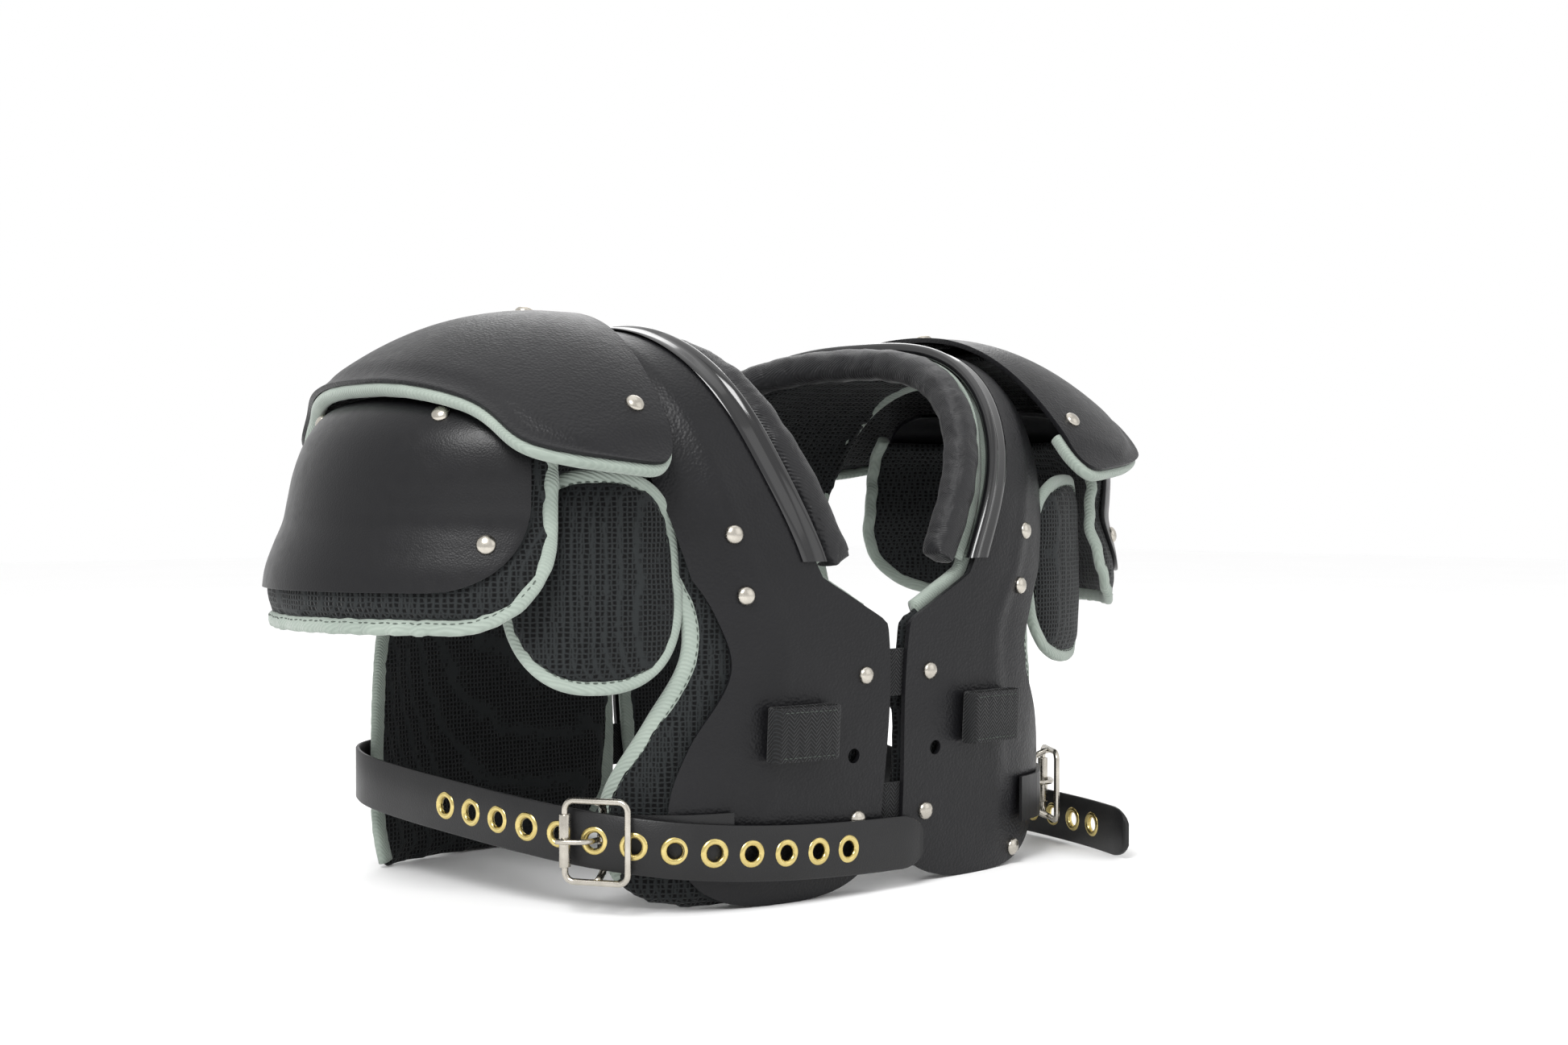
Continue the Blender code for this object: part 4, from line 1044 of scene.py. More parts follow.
@dataclass
class NeckRoll:
    """The quilted satin roll round the neck opening and the tape sewn beside it."""

    radius: float = 0.0124
    lift: float = -0.0074
    swell: float = 0.0022
    fold_pitch: float = 0.0210

    def line(self, shift: float, lift: float, end: float = 1.77) -> List[Vector]:
        """Half of the roll's line, from the front V to the back centre, moved outwards by a shift."""
        found = []
        for t in spaced(1.02, end, 70):
            x = smooth(COLLAR_ROUTE, t)
            found.append(TORSO.off(x + shift * min(1.0, x / 0.02), t, lift))
        return found

    def build(self) -> None:
        """Make the roll, its seams and the tape on each side."""
        half = self.line(0.0, self.lift)
        places = [mirrored(p, Side.RIGHT) for p in half] + list(reversed(half))[1:]
        steps: List[Vector] = []
        for k, (place, _) in enumerate(even_run(places, 0.004)):
            steps.append(place)
        steps = [places[0]] + steps + [places[-1]]
        frames = frames_along(steps, lambda k: Vector((0, 0, 1)))
        outline = oval(self.radius - self.swell, self.radius - self.swell, 20, 2.0)
        roll = swept("neck_roll", frames, outline, Side.LEFT)
        inflate(roll, 0.0042, self.swell)
        runs = [0.0]
        for a, b in zip(steps, steps[1:]):
            runs.append(runs[-1] + (b - a).length)

        def quilting(p: Vector, n: Vector) -> float:
            """Folds across the roll."""
            k = min(range(0, len(steps), 2), key=lambda i: (steps[i] - p).length_squared)
            ahead = (steps[min(k + 1, len(steps) - 1)] - steps[k - 1]).normalized()
            along = runs[k] + (p - steps[k]).dot(ahead)
            wave = math.sin(2 * math.pi * along / self.fold_pitch + 2.2 * noise.noise(p * 30))
            return 0.00026 * wave + 0.0005 * noise.noise(p * 60) + 0.0002 * noise.noise(p * 190)

        push(roll, quilting)
        ride_and_mark(roll, SATIN, "torso", "collar_satin_nylon", "collar_roll")
        for side in Side:
            run = self.line(0.0125, -0.0050, 1.70)
            tape = swept(
                f"neck_roll_tape_{side.word}", frames_along(run, lambda k: Vector((0, 0.15, 1))),
                oval(0.0014, 0.0046), side,
            )
            ride_and_mark(tape, TAPE, "torso", "bound_foam_fabric")


# ------------------------------------------------------------------ epaulets, cups and wing flaps


@dataclass
class Epaulet:
    """The flap over the top of the shoulder, with its foam pad and taped edge."""

    side: Side
    inner_x: float = 0.135
    reach: float = 0.116
    half_length: float = 0.140
    top_z: float = 0.309
    tip_drop: float = 0.088
    edge_drop: float = 0.043
    shoulder_x: float = 0.150
    wall: float = 0.0025

    def height(self, x: float, y: float) -> float:
        """The height of the flap's underside."""
        along = abs(y) / self.half_length
        beyond = max(0.0, x - self.shoulder_x) / 0.105
        return self.top_z - self.tip_drop * along**2.5 - self.edge_drop * beyond**2

    def at(self, x: float, y: float, lift: float) -> Vector:
        """A point off the underside, measured along its normal."""
        e = 0.001
        slope_x = (self.height(x + e, y) - self.height(x - e, y)) / (2 * e)
        slope_y = (self.height(x, y + e) - self.height(x, y - e)) / (2 * e)
        normal = Vector((-slope_x, -slope_y, 1)).normalized()
        return Vector((x, y, self.height(x, y))) + normal * lift + CENTRING

    def outer(self, y: float) -> float:
        """The outer edge in plan, a little fuller near each rounded end."""
        share = min(abs(y) / self.half_length, 0.995)
        lobe = 0.013 * math.exp(-(((abs(y) - 0.116) / 0.020) ** 2))
        return self.inner_x + self.reach * (1 - share**2.4) ** 0.5 + lobe - self.rounding(y)

    def inner(self, y: float) -> float:
        """The inner edge in plan."""
        return self.inner_x + 0.012 * (abs(y) / 0.13) ** 2 + self.rounding(y)

    def rounding(self, y: float) -> float:
        """How far both edges turn in towards the end of the flap."""
        radius = 0.0105
        near = radius - min(radius, self.half_length * 0.968 - abs(y))
        return radius - max(0.0, radius**2 - near**2) ** 0.5

    def ys(self, count: int) -> List[float]:
        """Stations from the front tip to the back tip."""
        return [self.half_length * 0.968 * math.sin(a) for a in spaced(-math.pi / 2, math.pi / 2, count)]

    def shell(self) -> bpy.types.Object:
        """The flap: a step in from its edge, then a lip that rolls up a little."""
        outer, under = [], []
        for y in self.ys(81):
            low, high = self.inner(y), self.outer(y)
            rows: Tuple[List[Vector], List[Vector]] = ([], [])
            for v in eased(40):
                x = low + (high - low) * v
                rim = min(high - x, (self.half_length * 0.968 - abs(y)) * 0.9 + 0.0005)
                step = 0.0011 * eased_step(0.006, 0.013, rim) + 0.0007 * (1 - eased_step(0.0, 0.004, rim))
                rows[0].append(self.at(x, y, self.wall + step - 0.0006))
                rows[1].append(self.at(x, y, 0.0))
            outer.append(rows[0])
            under.append(rows[1])
        made = wall(f"epaulet_flap_{self.side.word}", outer, under, self.side, 0.0009)
        body = f"epaulet_{self.side.word}"
        return ride_and_mark(made, SHELL, body, "grained_shell_plastic", f"epaulet_shell_{self.side.word}")

    def pad(self) -> bpy.types.Object:
        """The foam under the flap, open at its crown where the hinge strap lies."""
        outer, under = [], []
        for y in self.ys(61):
            share = (abs(y) / 0.13) ** 2
            low = max(self.inner(y) + 0.003, 0.172 - 0.030 * share)
            high = self.outer(y) - 0.001
            rows: Tuple[List[Vector], List[Vector]] = ([], [])
            for v in eased(24):
                x = low + (high - low) * v
                rim = eased_step(0.0, 0.012, min(x - low, high - x))
                half = 0.0012 + 0.0014 * rim
                rows[0].append(self.at(x, y, -0.0042 + half))
                rows[1].append(self.at(x, y, -0.0042 - half))
            outer.append(rows[0])
            under.append(rows[1])
        made = wall(f"epaulet_foam_{self.side.word}", outer, under, self.side)
        inflate(made, 0.0034, 0.0011)
        body = f"epaulet_{self.side.word}"
        return ride_and_mark(made, MESH, body, "bound_foam_fabric", f"epaulet_pad_{self.side.word}")

    def edge(self) -> None:
        """The thick taped edge below the rim, round the front tip and the back tip."""
        ys = self.ys(121)
        run, ups = [], []
        tip = self.half_length * 0.968

        def put(x: float, y: float) -> None:
            """Add one station."""
            ripple = 0.0003 * noise.noise(Vector((x * 160, y * 160, 0)))
            run.append(self.at(x, y, -0.0044 + ripple))
            ups.append((self.at(x, y, 0.001) - self.at(x, y, 0.0)).normalized())

        for y in reversed([y for y in ys[2:] if y < 0.018 - tip]):
            put(self.inner(y) + 0.0012, y)
        for y in ys[1:-1]:
            put(self.outer(y) - 0.0008, y)
        for y in reversed([y for y in ys[:-2] if y > tip - 0.018]):
            put(self.inner(y) + 0.0012, y)
        frames = frames_along(run, lambda k: ups[k])
        tape = swept(f"epaulet_edge_{self.side.word}", frames, oval(0.0034, 0.0040), self.side)
        finer = tape.modifiers.new("finer", "SUBSURF")
        finer.levels = finer.render_levels = 1
        settled(tape)
        ride_and_mark(tape, TAPE, f"epaulet_{self.side.word}", "bound_foam_fabric")

    def build(self) -> None:
        """Make the flap, its pad and its edge."""
        self.shell()
        self.pad()
        self.edge()


@dataclass
class ShoulderCup:
    """The domed cup over the point of the shoulder, with its mesh band and ruffled tape."""

    side: Side
    centre_x: float = 0.165
    reach: float = 0.107
    half_length: float = 0.116
    wall: float = 0.0025
    half_angle: float = math.radians(64)
    flare: float = 0.016
    band: float = 0.017
    corner_high: float = 0.050
    corner_wide: float = math.radians(27)
    profile: Table = (
        (0.0, 0.995), (0.10, 0.985), (0.20, 0.962), (0.30, 0.944), (0.40, 0.950), (0.52, 0.955),
        (0.64, 0.940), (0.74, 0.905), (0.83, 0.835), (0.90, 0.730), (0.95, 0.600), (1.0, 0.340),
    )
    heights: Table = (
        (0.0, 0.165), (0.10, 0.176), (0.20, 0.188), (0.30, 0.199), (0.40, 0.210), (0.52, 0.224),
        (0.64, 0.237), (0.74, 0.2465), (0.83, 0.2555), (0.90, 0.2612), (0.95, 0.2645), (1.0, 0.2668),
    )

    def at(self, angle: float, up: float, lift: float, drop: float = 0.0) -> Vector:
        """A point of the dome.

        Args:
            angle: The angle round the shoulder, 0 at the outside.
            up: 0 at the lower edge and 1 at the crown.
            lift: The distance outwards from the shell's outer face.
            drop: How far below its height on the crown the point lies.

        Returns:
            The point, made for +X.
        """
        share, z = smooth(self.profile, up), smooth(self.heights, up)
        z -= drop * eased_step(0.55, 0.98, up)
        off = lift + self.flare * (1 - eased_step(0.0, 0.8, up)) * eased_step(-1.0, 0.3, angle)
        reach, length = self.reach * share + off, self.half_length * share + off
        return Vector((self.centre_x + reach * math.cos(angle), length * math.sin(angle), z)) + CENTRING

    def below(self, angle: float, depth: float, lift: float) -> Vector:
        """A point under the lower edge, on the band."""
        p = self.at(angle, 0.0, lift)
        return Vector((p.x, p.y, p.z - depth))

    def banded(self, angle: float, height: float, lift: float) -> Vector:
        """A point at a height above the foam's lower edge, on the band or under the dome."""
        if height < self.band:
            return self.below(angle, self.band - height, lift)
        up = smooth([(z, u) for u, z in self.heights], self.heights[0][1] + height - self.band)
        return self.at(angle, up, lift, -lift)

    def half_range(self, wide: float, height: float, high: float) -> float:
        """Half the angle that a piece spans at a height above its lower edge, with rounded corners."""
        share = 1 - min(1.0, max(0.0, height) / high)
        return wide - self.corner_wide * (1 - (1 - share**2) ** 0.5)

    def shell(self) -> bpy.types.Object:
        """The dome, with a crease above its flared lower edge."""
        faces: Tuple[Grid, Grid] = ([], [])
        low = self.heights[0][1]
        for share in spaced(0, 1, 60):
            up = share**1.25
            span = self.half_range(self.half_angle, smooth(self.heights, up) - low, self.corner_high - 0.006)
            for grid, lift in zip(faces, (0.0, -self.wall)):
                grid.append([self.at(span * a, up, lift, -lift) for a in spaced(-1, 1, 61)])
        made = wall(f"shoulder_dome_{self.side.word}", faces[0], faces[1], self.side, 0.0009)
        word = self.side.word
        return ride_and_mark(made, CUP_SHELL, f"cup_{word}", "cup_shell_plastic", f"cup_shell_{word}")

    def pad(self) -> bpy.types.Object:
        """The foam and spacer mesh under the dome, which stands out below it and past its ends."""
        wide = math.radians(71)
        top = -self.wall - 0.0010
        middle = top - 0.0032
        faces = []
        for lift in (top, top - 0.0064):
            rows = []
            for share in spaced(0, 1, 44):
                height = 0.105 * share**1.2
                span = self.half_range(wide, height, self.corner_high)
                rim = 0.45 + 0.55 * eased_step(0.0, 0.010, height)
                row = []
                for a in spaced(-1, 1, 60):
                    off = middle + (lift - middle) * rim * self.rim(span * a, span)
                    row.append(self.banded(span * a, height, off))
                rows.append(row)
            faces.append(rows)
        made = wall(f"shoulder_foam_{self.side.word}", faces[0], faces[1], self.side)
        inflate(made, 0.0036, 0.0010)

        def pucker(p: Vector, n: Vector) -> float:
            """Small hollows where the mesh is gathered into the tape."""
            low = 1 - eased_step(0.150, 0.172, p.z)
            return 0.0003 * noise.noise(p * 60) + 0.0006 * low * noise.noise(p * 150)

        push(made, pucker)
        word = self.side.word
        return ride_and_mark(made, MESH, f"cup_{word}", "bound_foam_fabric", f"cup_pad_{word}")

    @staticmethod
    def rim(angle: float, wide: float) -> float:
        """How thick the foam is near its two ends, from 0.45 to 1."""
        return 0.45 + 0.55 * eased_step(0.0, math.radians(8), wide - abs(angle))

    def tape(self) -> None:
        """The gathered tape down the front, round the lower edge and up the back."""
        wide = math.radians(70)
        middle = -self.wall - 0.0042
        run: List[Vector] = []
        ups: List[Vector] = []

        def put(p: Vector, out: Vector) -> None:
            """Add one station, with the ruffles of gathered tape."""
            k = len(run)
            ripple = 0.0008 * noise.noise(Vector((k * 0.42, 1.7, self.side.value * 2.0)))
            ripple += 0.0005 * math.sin(k * 0.9)
            run.append(p + out * ripple + Vector((0, 0, 0.0009 * noise.noise(Vector((k * 0.35, 8.0, 0))))))
            ups.append(out)

        def outward(angle: float) -> Vector:
            """The level direction out of the dome."""
            return Vector((math.cos(angle), math.sin(angle), 0)).normalized()

        for sign in (-1, 1):
            edge = [(wide, height) for height in spaced(0.108, self.corner_high + 0.002, 24)]
            for turn in spaced(math.pi / 2, 0.06, 26):
                edge.append((
                    wide - self.corner_wide * (1 - math.sin(turn)), self.corner_high * (1 - math.cos(turn)),
                ))
            for angle, height in edge[::-sign]:
                put(self.banded(sign * angle, height, middle), outward(sign * angle))
            if sign < 0:
                flat = wide - self.corner_wide - 0.02
                for angle in spaced(-flat, flat, 90):
                    put(self.banded(angle, 0.0, middle), outward(angle))
        frames = frames_along(run, lambda k: ups[k])
        word = self.side.word
        made = swept(f"shoulder_tape_{word}", frames, oval(0.0040, 0.0030), self.side)
        ride_and_mark(made, TAPE, f"cup_{word}", "bound_foam_fabric")
        line = [p + up * 0.0028 + Vector((0, 0, 0.0022)) for (p, _, _), up in zip(frames, ups)][34:-34]
        stitches = Scatter(Hardware.STITCH, THREAD, 0.00036, 0.0014)
        run = even_run(line, STITCH_PITCH)
        name = f"shoulder_tape_stitches_{word}"
        stitches.make(name, run, self.side, f"cup_{word}")

    def build(self) -> None:
        """Make the dome, the foam and the tape."""
        self.shell()
        self.pad()
        self.tape()


@dataclass
class WingFlap:
    """The soft flap that closes the front of the arm opening: a shield of spacer mesh, taped all round."""

    side: Side
    centre: Vector = field(default_factory=lambda: Vector((0.1715, -0.0993, 0.1692)))
    half_width: float = 0.0445
    half_height: float = 0.0552
    thick: float = 0.0072

    def across(self) -> Vector:
        """The direction from the chest to the outside."""
        return Vector((0.905, 0.425, 0)).normalized()

    def normal(self) -> Vector:
        """The direction out of the flap's front."""
        way = self.across()
        return Vector((way.y, -way.x, 0))

    def spot(self, share: float, angle: float, depth: float) -> Vector:
        """A point of the flap, by share of the way to its outline, angle and depth."""
        c, s = math.cos(angle), math.sin(angle)
        bulge = 1 + 0.06 * math.cos(angle * 3 + 0.6) * (1 if s > 0 else 0.4)
        flat = (abs(c) ** 2.5 + abs(s) ** 2.5) ** (-1 / 2.5)
        bow = -0.010 * (share * c * flat) ** 2
        place = self.across() * (self.half_width * share * c * flat * bulge)
        place += Vector((0, 0, self.half_height * share * s * flat))
        return self.centre + place + self.normal() * (depth + bow) + CENTRING

    def build(self) -> None:
        """Make the pad, its tape and its stitches."""
        count = 72
        angles = [2 * math.pi * k / count for k in range(count)]
        shares = [0.0] + spaced(0.08, 0.96, 14)
        points: List[Vector] = []
        faces: List[Tuple[int, ...]] = []
        for sign in (1, -1):
            for share in shares:
                half = self.thick / 2 * (1 - 0.62 * share**6)
                for a in angles if share else (0.0,):
                    points.append(self.spot(share, a, sign * half))
        layer = 1 + count * (len(shares) - 1)
        for base in (0, layer):
            for k in range(count):
                n = (k + 1) % count
                faces.append((base, base + 1 + k, base + 1 + n))
                for r in range(len(shares) - 2):
                    a, b = base + 1 + r * count, base + 1 + (r + 1) * count
                    faces.append((a + k, b + k, b + n, a + n))
        last = 1 + count * (len(shares) - 2)
        for k in range(count):
            n = (k + 1) % count
            faces.append((last + k, layer + last + k, layer + last + n, last + n))
        word = self.side.word
        made = solid(f"wing_flap_{word}", [mirrored(p, self.side) for p in points], faces)
        inflate(made, 0.0036, 0.0016)

        def pucker(p: Vector, n: Vector) -> float:
            """Slight hollows of the mesh."""
            return 0.0006 * noise.noise(p * 50)

        push(made, pucker)
        ride_and_mark(made, MESH, "torso", "spacer_mesh_fabric", f"wing_pad_{word}")
        fine = [2 * math.pi * k / 132 for k in range(132)]
        run = [self.spot(0.955, a, 0.0004 * noise.noise(Vector((a * 5, 2.0, 0)))) for a in fine]
        frames = frames_along(run, lambda k: self.normal(), True)
        tape = swept(f"wing_tape_{word}", frames, oval(0.0038, 0.0030), self.side, True)
        ride_and_mark(tape, TAPE, "torso", "bound_foam_fabric")
        line = [self.spot(0.905, a, 0.0029) for a in fine]
        stitches = Scatter(Hardware.STITCH, THREAD, 0.00036, 0.0014)
        run = even_run(line, STITCH_PITCH, True)
        stitches.make(f"wing_tape_stitches_{word}", run, self.side, "torso")


# ------------------------------------------------------------------ belts, buckles and rivets

Route = Sequence[Tuple[float, float, float]]

BUCKLED_ROUTE: Route = (
    (-0.020, -0.1335, 0.0245), (0.030, -0.1350, 0.0260), (0.070, -0.1345, 0.0280),
    (0.105, -0.1290, 0.0305), (0.134, -0.1185, 0.0335), (0.1545, -0.1015, 0.0365),
    (0.1700, -0.0770, 0.0395), (0.1820, -0.0430, 0.0430), (0.1900, 0.0000, 0.0465),
    (0.1965, 0.0450, 0.0500), (0.1990, 0.0850, 0.0535), (0.1925, 0.1080, 0.0560),
    (0.1780, 0.1215, 0.0570), (0.1500, 0.1318, 0.0575), (0.1300, 0.1350, 0.0575),
)
FREE_ROUTE: Route = (
    (0.1640, -0.1560, 0.0150), (0.1780, -0.1150, 0.0155), (0.1880, -0.0700, 0.0160),
    (0.1950, -0.0230, 0.0165), (0.1985, 0.0250, 0.0190), (0.2000, 0.0700, 0.0250),
    (0.1985, 0.0900, 0.0290), (0.1935, 0.1050, 0.0325),
)
ANCHOR_ROUTE: Route = (
    (0.1932, 0.1055, 0.0326), (0.1850, 0.1150, 0.0350), (0.1680, 0.1235, 0.0370),
    (0.1500, 0.1304, 0.0375), (0.1300, 0.1335, 0.0375),
)


def smooth_run(points: Route, count: int) -> List[Vector]:
    """Evenly spaced points on a smooth curve through the given ones."""
    knots = [0.0]
    for a, b in zip(points, points[1:]):
        knots.append(knots[-1] + (Vector(b) - Vector(a)).length)
    tables = [[(s, p[axis]) for s, p in zip(knots, points)] for axis in range(3)]
    return [Vector(smooth(table, s) for table in tables) for s in spaced(0.0, knots[-1], count)]


@dataclass
class Belt:
    """A coated eyelet belt on edge: a cut and pressed strap with rolled brass eyelets."""

    side: Side
    route: Route
    stations: int
    width: float = 0.0286
    thick: float = 0.0024
    lead: float = 0.0
    count: int = 0
    pitch: float = 0.0207
    tip: float = 0.017
    way: float = 0.0044

    def path(self) -> List[Vector]:
        """The belt's own line, with as many stations as the CAD belt has."""
        return smooth_run(self.route, self.stations)

    @staticmethod
    def outward(path: Sequence[Vector], k: int) -> Vector:
        """The level normal of a line at a station."""
        ahead = path[min(k + 1, len(path) - 1)] - path[max(k - 1, 0)]
        return Vector((ahead.y, -ahead.x, 0)).normalized()

    def spot(self, run: float) -> Tuple[Vector, Vector]:
        """The place and level normal at a distance from the tip."""
        path, gone, k = self.path(), 0.0, 0
        while k < len(path) - 2 and gone + (path[k + 1] - path[k]).length < run:
            gone += (path[k + 1] - path[k]).length
            k += 1
        share = (run - gone) / (path[k + 1] - path[k]).length
        return path[k].lerp(path[k + 1], share) + CENTRING, self.outward(path, k)

    def strap(self, name: str, body: str, node: str, pointed: bool = True) -> bpy.types.Object:
        """The strap itself, with rounded edges and a rounded tip.

        Args:
            name: The object's name.
            body: The body that it rides on.
            node: The CAD node that it replaces.
            pointed: Whether its first end is the rounded tip.

        Returns:
            The finished object.
        """
        path = smooth_run(self.route, self.stations * 4)
        frames: List[Frame] = []
        gone = 0.0
        for k, p in enumerate(path):
            gone += (p - path[k - 1]).length if k else 0.0
            share = min(1.0, (gone + 0.0005) / self.tip) if pointed else 1.0
            half = self.width / 2 * (0.30 + 0.70 * (1 - (1 - share) ** 2) ** 0.5)
            up = Vector((0, 0, half / (self.width / 2)))
            frames.append((p + CENTRING, self.outward(path, k), up))
        w, t = self.width / 2, self.thick / 2
        outline = [(t, w - 0.0008), (t, -w + 0.0008), (t * 0.5, -w), (-t * 0.5, -w)]
        outline += [(-t, -w + 0.0008), (-t, w - 0.0008), (-t * 0.5, w), (t * 0.5, w)]
        made = swept(name, frames, outline, self.side)
        if self.count:
            self.pierce(made)
        creased(made, PLATE_CREASE)
        return ride_and_mark(made, STRAP, body, "coated_belt", node)

    def spots(self) -> List[Tuple[Vector, Vector]]:
        """The place and level normal of each eyelet."""
        return [self.spot(self.lead + self.pitch * n) for n in range(self.count)]

    def pierce(self, strap: bpy.types.Object) -> None:
        """Cut the way through the strap at each eyelet."""
        points: List[Vector] = []
        faces: List[Tuple[int, ...]] = []
        turns = spaced(0, 2 * math.pi, 21)[:-1]
        n = len(turns)
        for place, out in self.spots():
            along, base = Vector((-out.y, out.x, 0)), len(points)
            for depth in (-0.005, 0.005):
                for a in turns:
                    ring = along * math.cos(a) + Vector((0, 0, math.sin(a)))
                    points.append(mirrored(place + out * depth + ring * self.way, self.side))
            for k in range(n):
                m = (k + 1) % n
                faces.append((base + k, base + m, base + n + m, base + n + k))
            faces += [tuple(base + k for k in range(n)), tuple(base + n + k for k in range(n))]
        cut_by(strap, solid("belt_ways", points, faces))

    def eyelets(self, name: str, body: str) -> None:
        """The row of rolled eyelets."""
        spots = self.spots()
        Scatter(Hardware.ROLLED_EYELET, BRASS, 0.0058, 0.0019).make(name, spots, self.side, body)


@dataclass
class Buckle:
    """The nickel roller buckle: wire frame with its centre bar, roller and tongue."""

    side: Side
    belt: Belt
    lead: float = 0.056
    eyelet: int = 7
    length: float = 0.034
    height: float = 0.041
    wire: float = 0.0017
    bar: float = 0.0018
    gap: float = 0.0003
    loop_wall: float = 0.0012
    frame_lift: float = 0.0048
    tongue_wire: float = 0.0014
    roller_length: float = 0.027

    def __post_init__(self) -> None:
        """Find the buckle's place on its belt."""
        place, self.out = self.belt.spot(self.lead + self.belt.pitch * self.eyelet)
        self.along = Vector((-self.out.y, self.out.x, 0))
        self.centre = place - self.along * 0.0026
        self.depth = 0.0012 + self.gap + self.loop_wall + self.gap + self.bar + 0.0003

    def at(self, along: float, out: float, up: float) -> Vector:
        """A point from the buckle's own distances."""
        return self.centre + self.along * along + self.out * out + Vector((0, 0, up))

    def wire_piece(
        self, name: str, places: Sequence[Vector], radius: float, loop: bool = False,
    ) -> bpy.types.Object:
        """A round wire along places."""
        frames = frames_along(places, lambda k: self.out, loop)
        return swept(name, frames, oval(radius, radius, 14, 2.0), self.side, loop)

    def build(self) -> None:
        """Make the frame, the roller and the tongue."""
        word = self.side.word
        half_l, half_h, corner = self.length / 2, self.height / 2, 0.005
        ring = []
        for x, z, start in ((1, 1, 0), (-1, 1, 90), (-1, -1, 180), (1, -1, 270)):
            for a in spaced(start, start + 90, 9):
                u, v = math.cos(math.radians(a)), math.sin(math.radians(a))
                along = x * (half_l - corner) + corner * u
                ring.append(self.at(along, self.frame_lift, z * (half_h - corner) + corner * v))
        wire = self.wire_piece(f"buckle_wire_{word}", ring, self.wire, True)
        inner = BELT_HALF + 0.0014
        ends = [(half_h - 0.0002, self.frame_lift), (half_h - 0.0012, 0.001)]
        ends.append((inner + 0.0012, -self.depth + 0.0012))
        line = ends + [(inner - 0.001, -self.depth)] + [(0.004, -self.depth)]
        line += [(-z, lift) for z, lift in reversed(line)]
        bar = self.wire_piece(f"buckle_bar_{word}", [self.at(0, lift, z) for z, lift in line], self.bar)
        ride_and_mark(wire, NICKEL, "torso", "nickel_plate", f"buckle_frame_{word}")
        ride_and_mark(bar, NICKEL, "torso", "nickel_plate", f"buckle_frame_{word}")
        bore = self.wire + self.gap
        half = self.roller_length / 2
        places = [self.at(half_l, self.frame_lift, z) for z in (-half, half)]
        frames = frames_along(places, lambda k: self.out)
        sleeve = swept(f"buckle_sleeve_{word}", frames, oval(bore + 0.001, bore + 0.001, 28, 2.0), self.side)
        bevel = sleeve.modifiers.new("ends", "BEVEL")
        bevel.width, bevel.segments = 0.0005, 2
        settled(sleeve)
        creased(sleeve, TUBE_CREASE)
        ride_and_mark(sleeve, NICKEL, f"roller_{word}", "nickel_plate", f"buckle_roller_{word}")
        rest = self.frame_lift + bore + 0.001 + self.gap + self.tongue_wire
        route = [(0.0014, -self.depth + 0.0025, 0), (0.0026, -0.0005, 0), (0.0030, 0.0030, 0)]
        route += [(0.0050, 0.0062, 0), (0.0095, rest - 0.0012, 0), (0.0150, rest, 0), (half_l + 0.003, rest, 0)]
        prong_line = smooth_run([tuple(self.at(*p)) for p in route], 28)
        frames = frames_along(prong_line, lambda k: Vector((0, 0, 1)))
        round_wire = oval(self.tongue_wire, self.tongue_wire, 12, 2.0)
        prong = swept(f"buckle_prong_{word}", frames, round_wire, self.side)
        ring_r = self.bar + self.gap + self.loop_wall
        eye_line = [self.at(0, -self.depth, z) for z in (-0.0022, 0.0022)]
        frames = frames_along(eye_line, lambda k: self.out)
        eye = swept(f"buckle_eye_{word}", frames, oval(ring_r, ring_r, 20, 2.0), self.side)
        ride_and_mark(prong, NICKEL, f"tongue_{word}", "nickel_plate", f"buckle_tongue_{word}")
        ride_and_mark(eye, NICKEL, f"tongue_{word}", "nickel_plate", f"buckle_tongue_{word}")


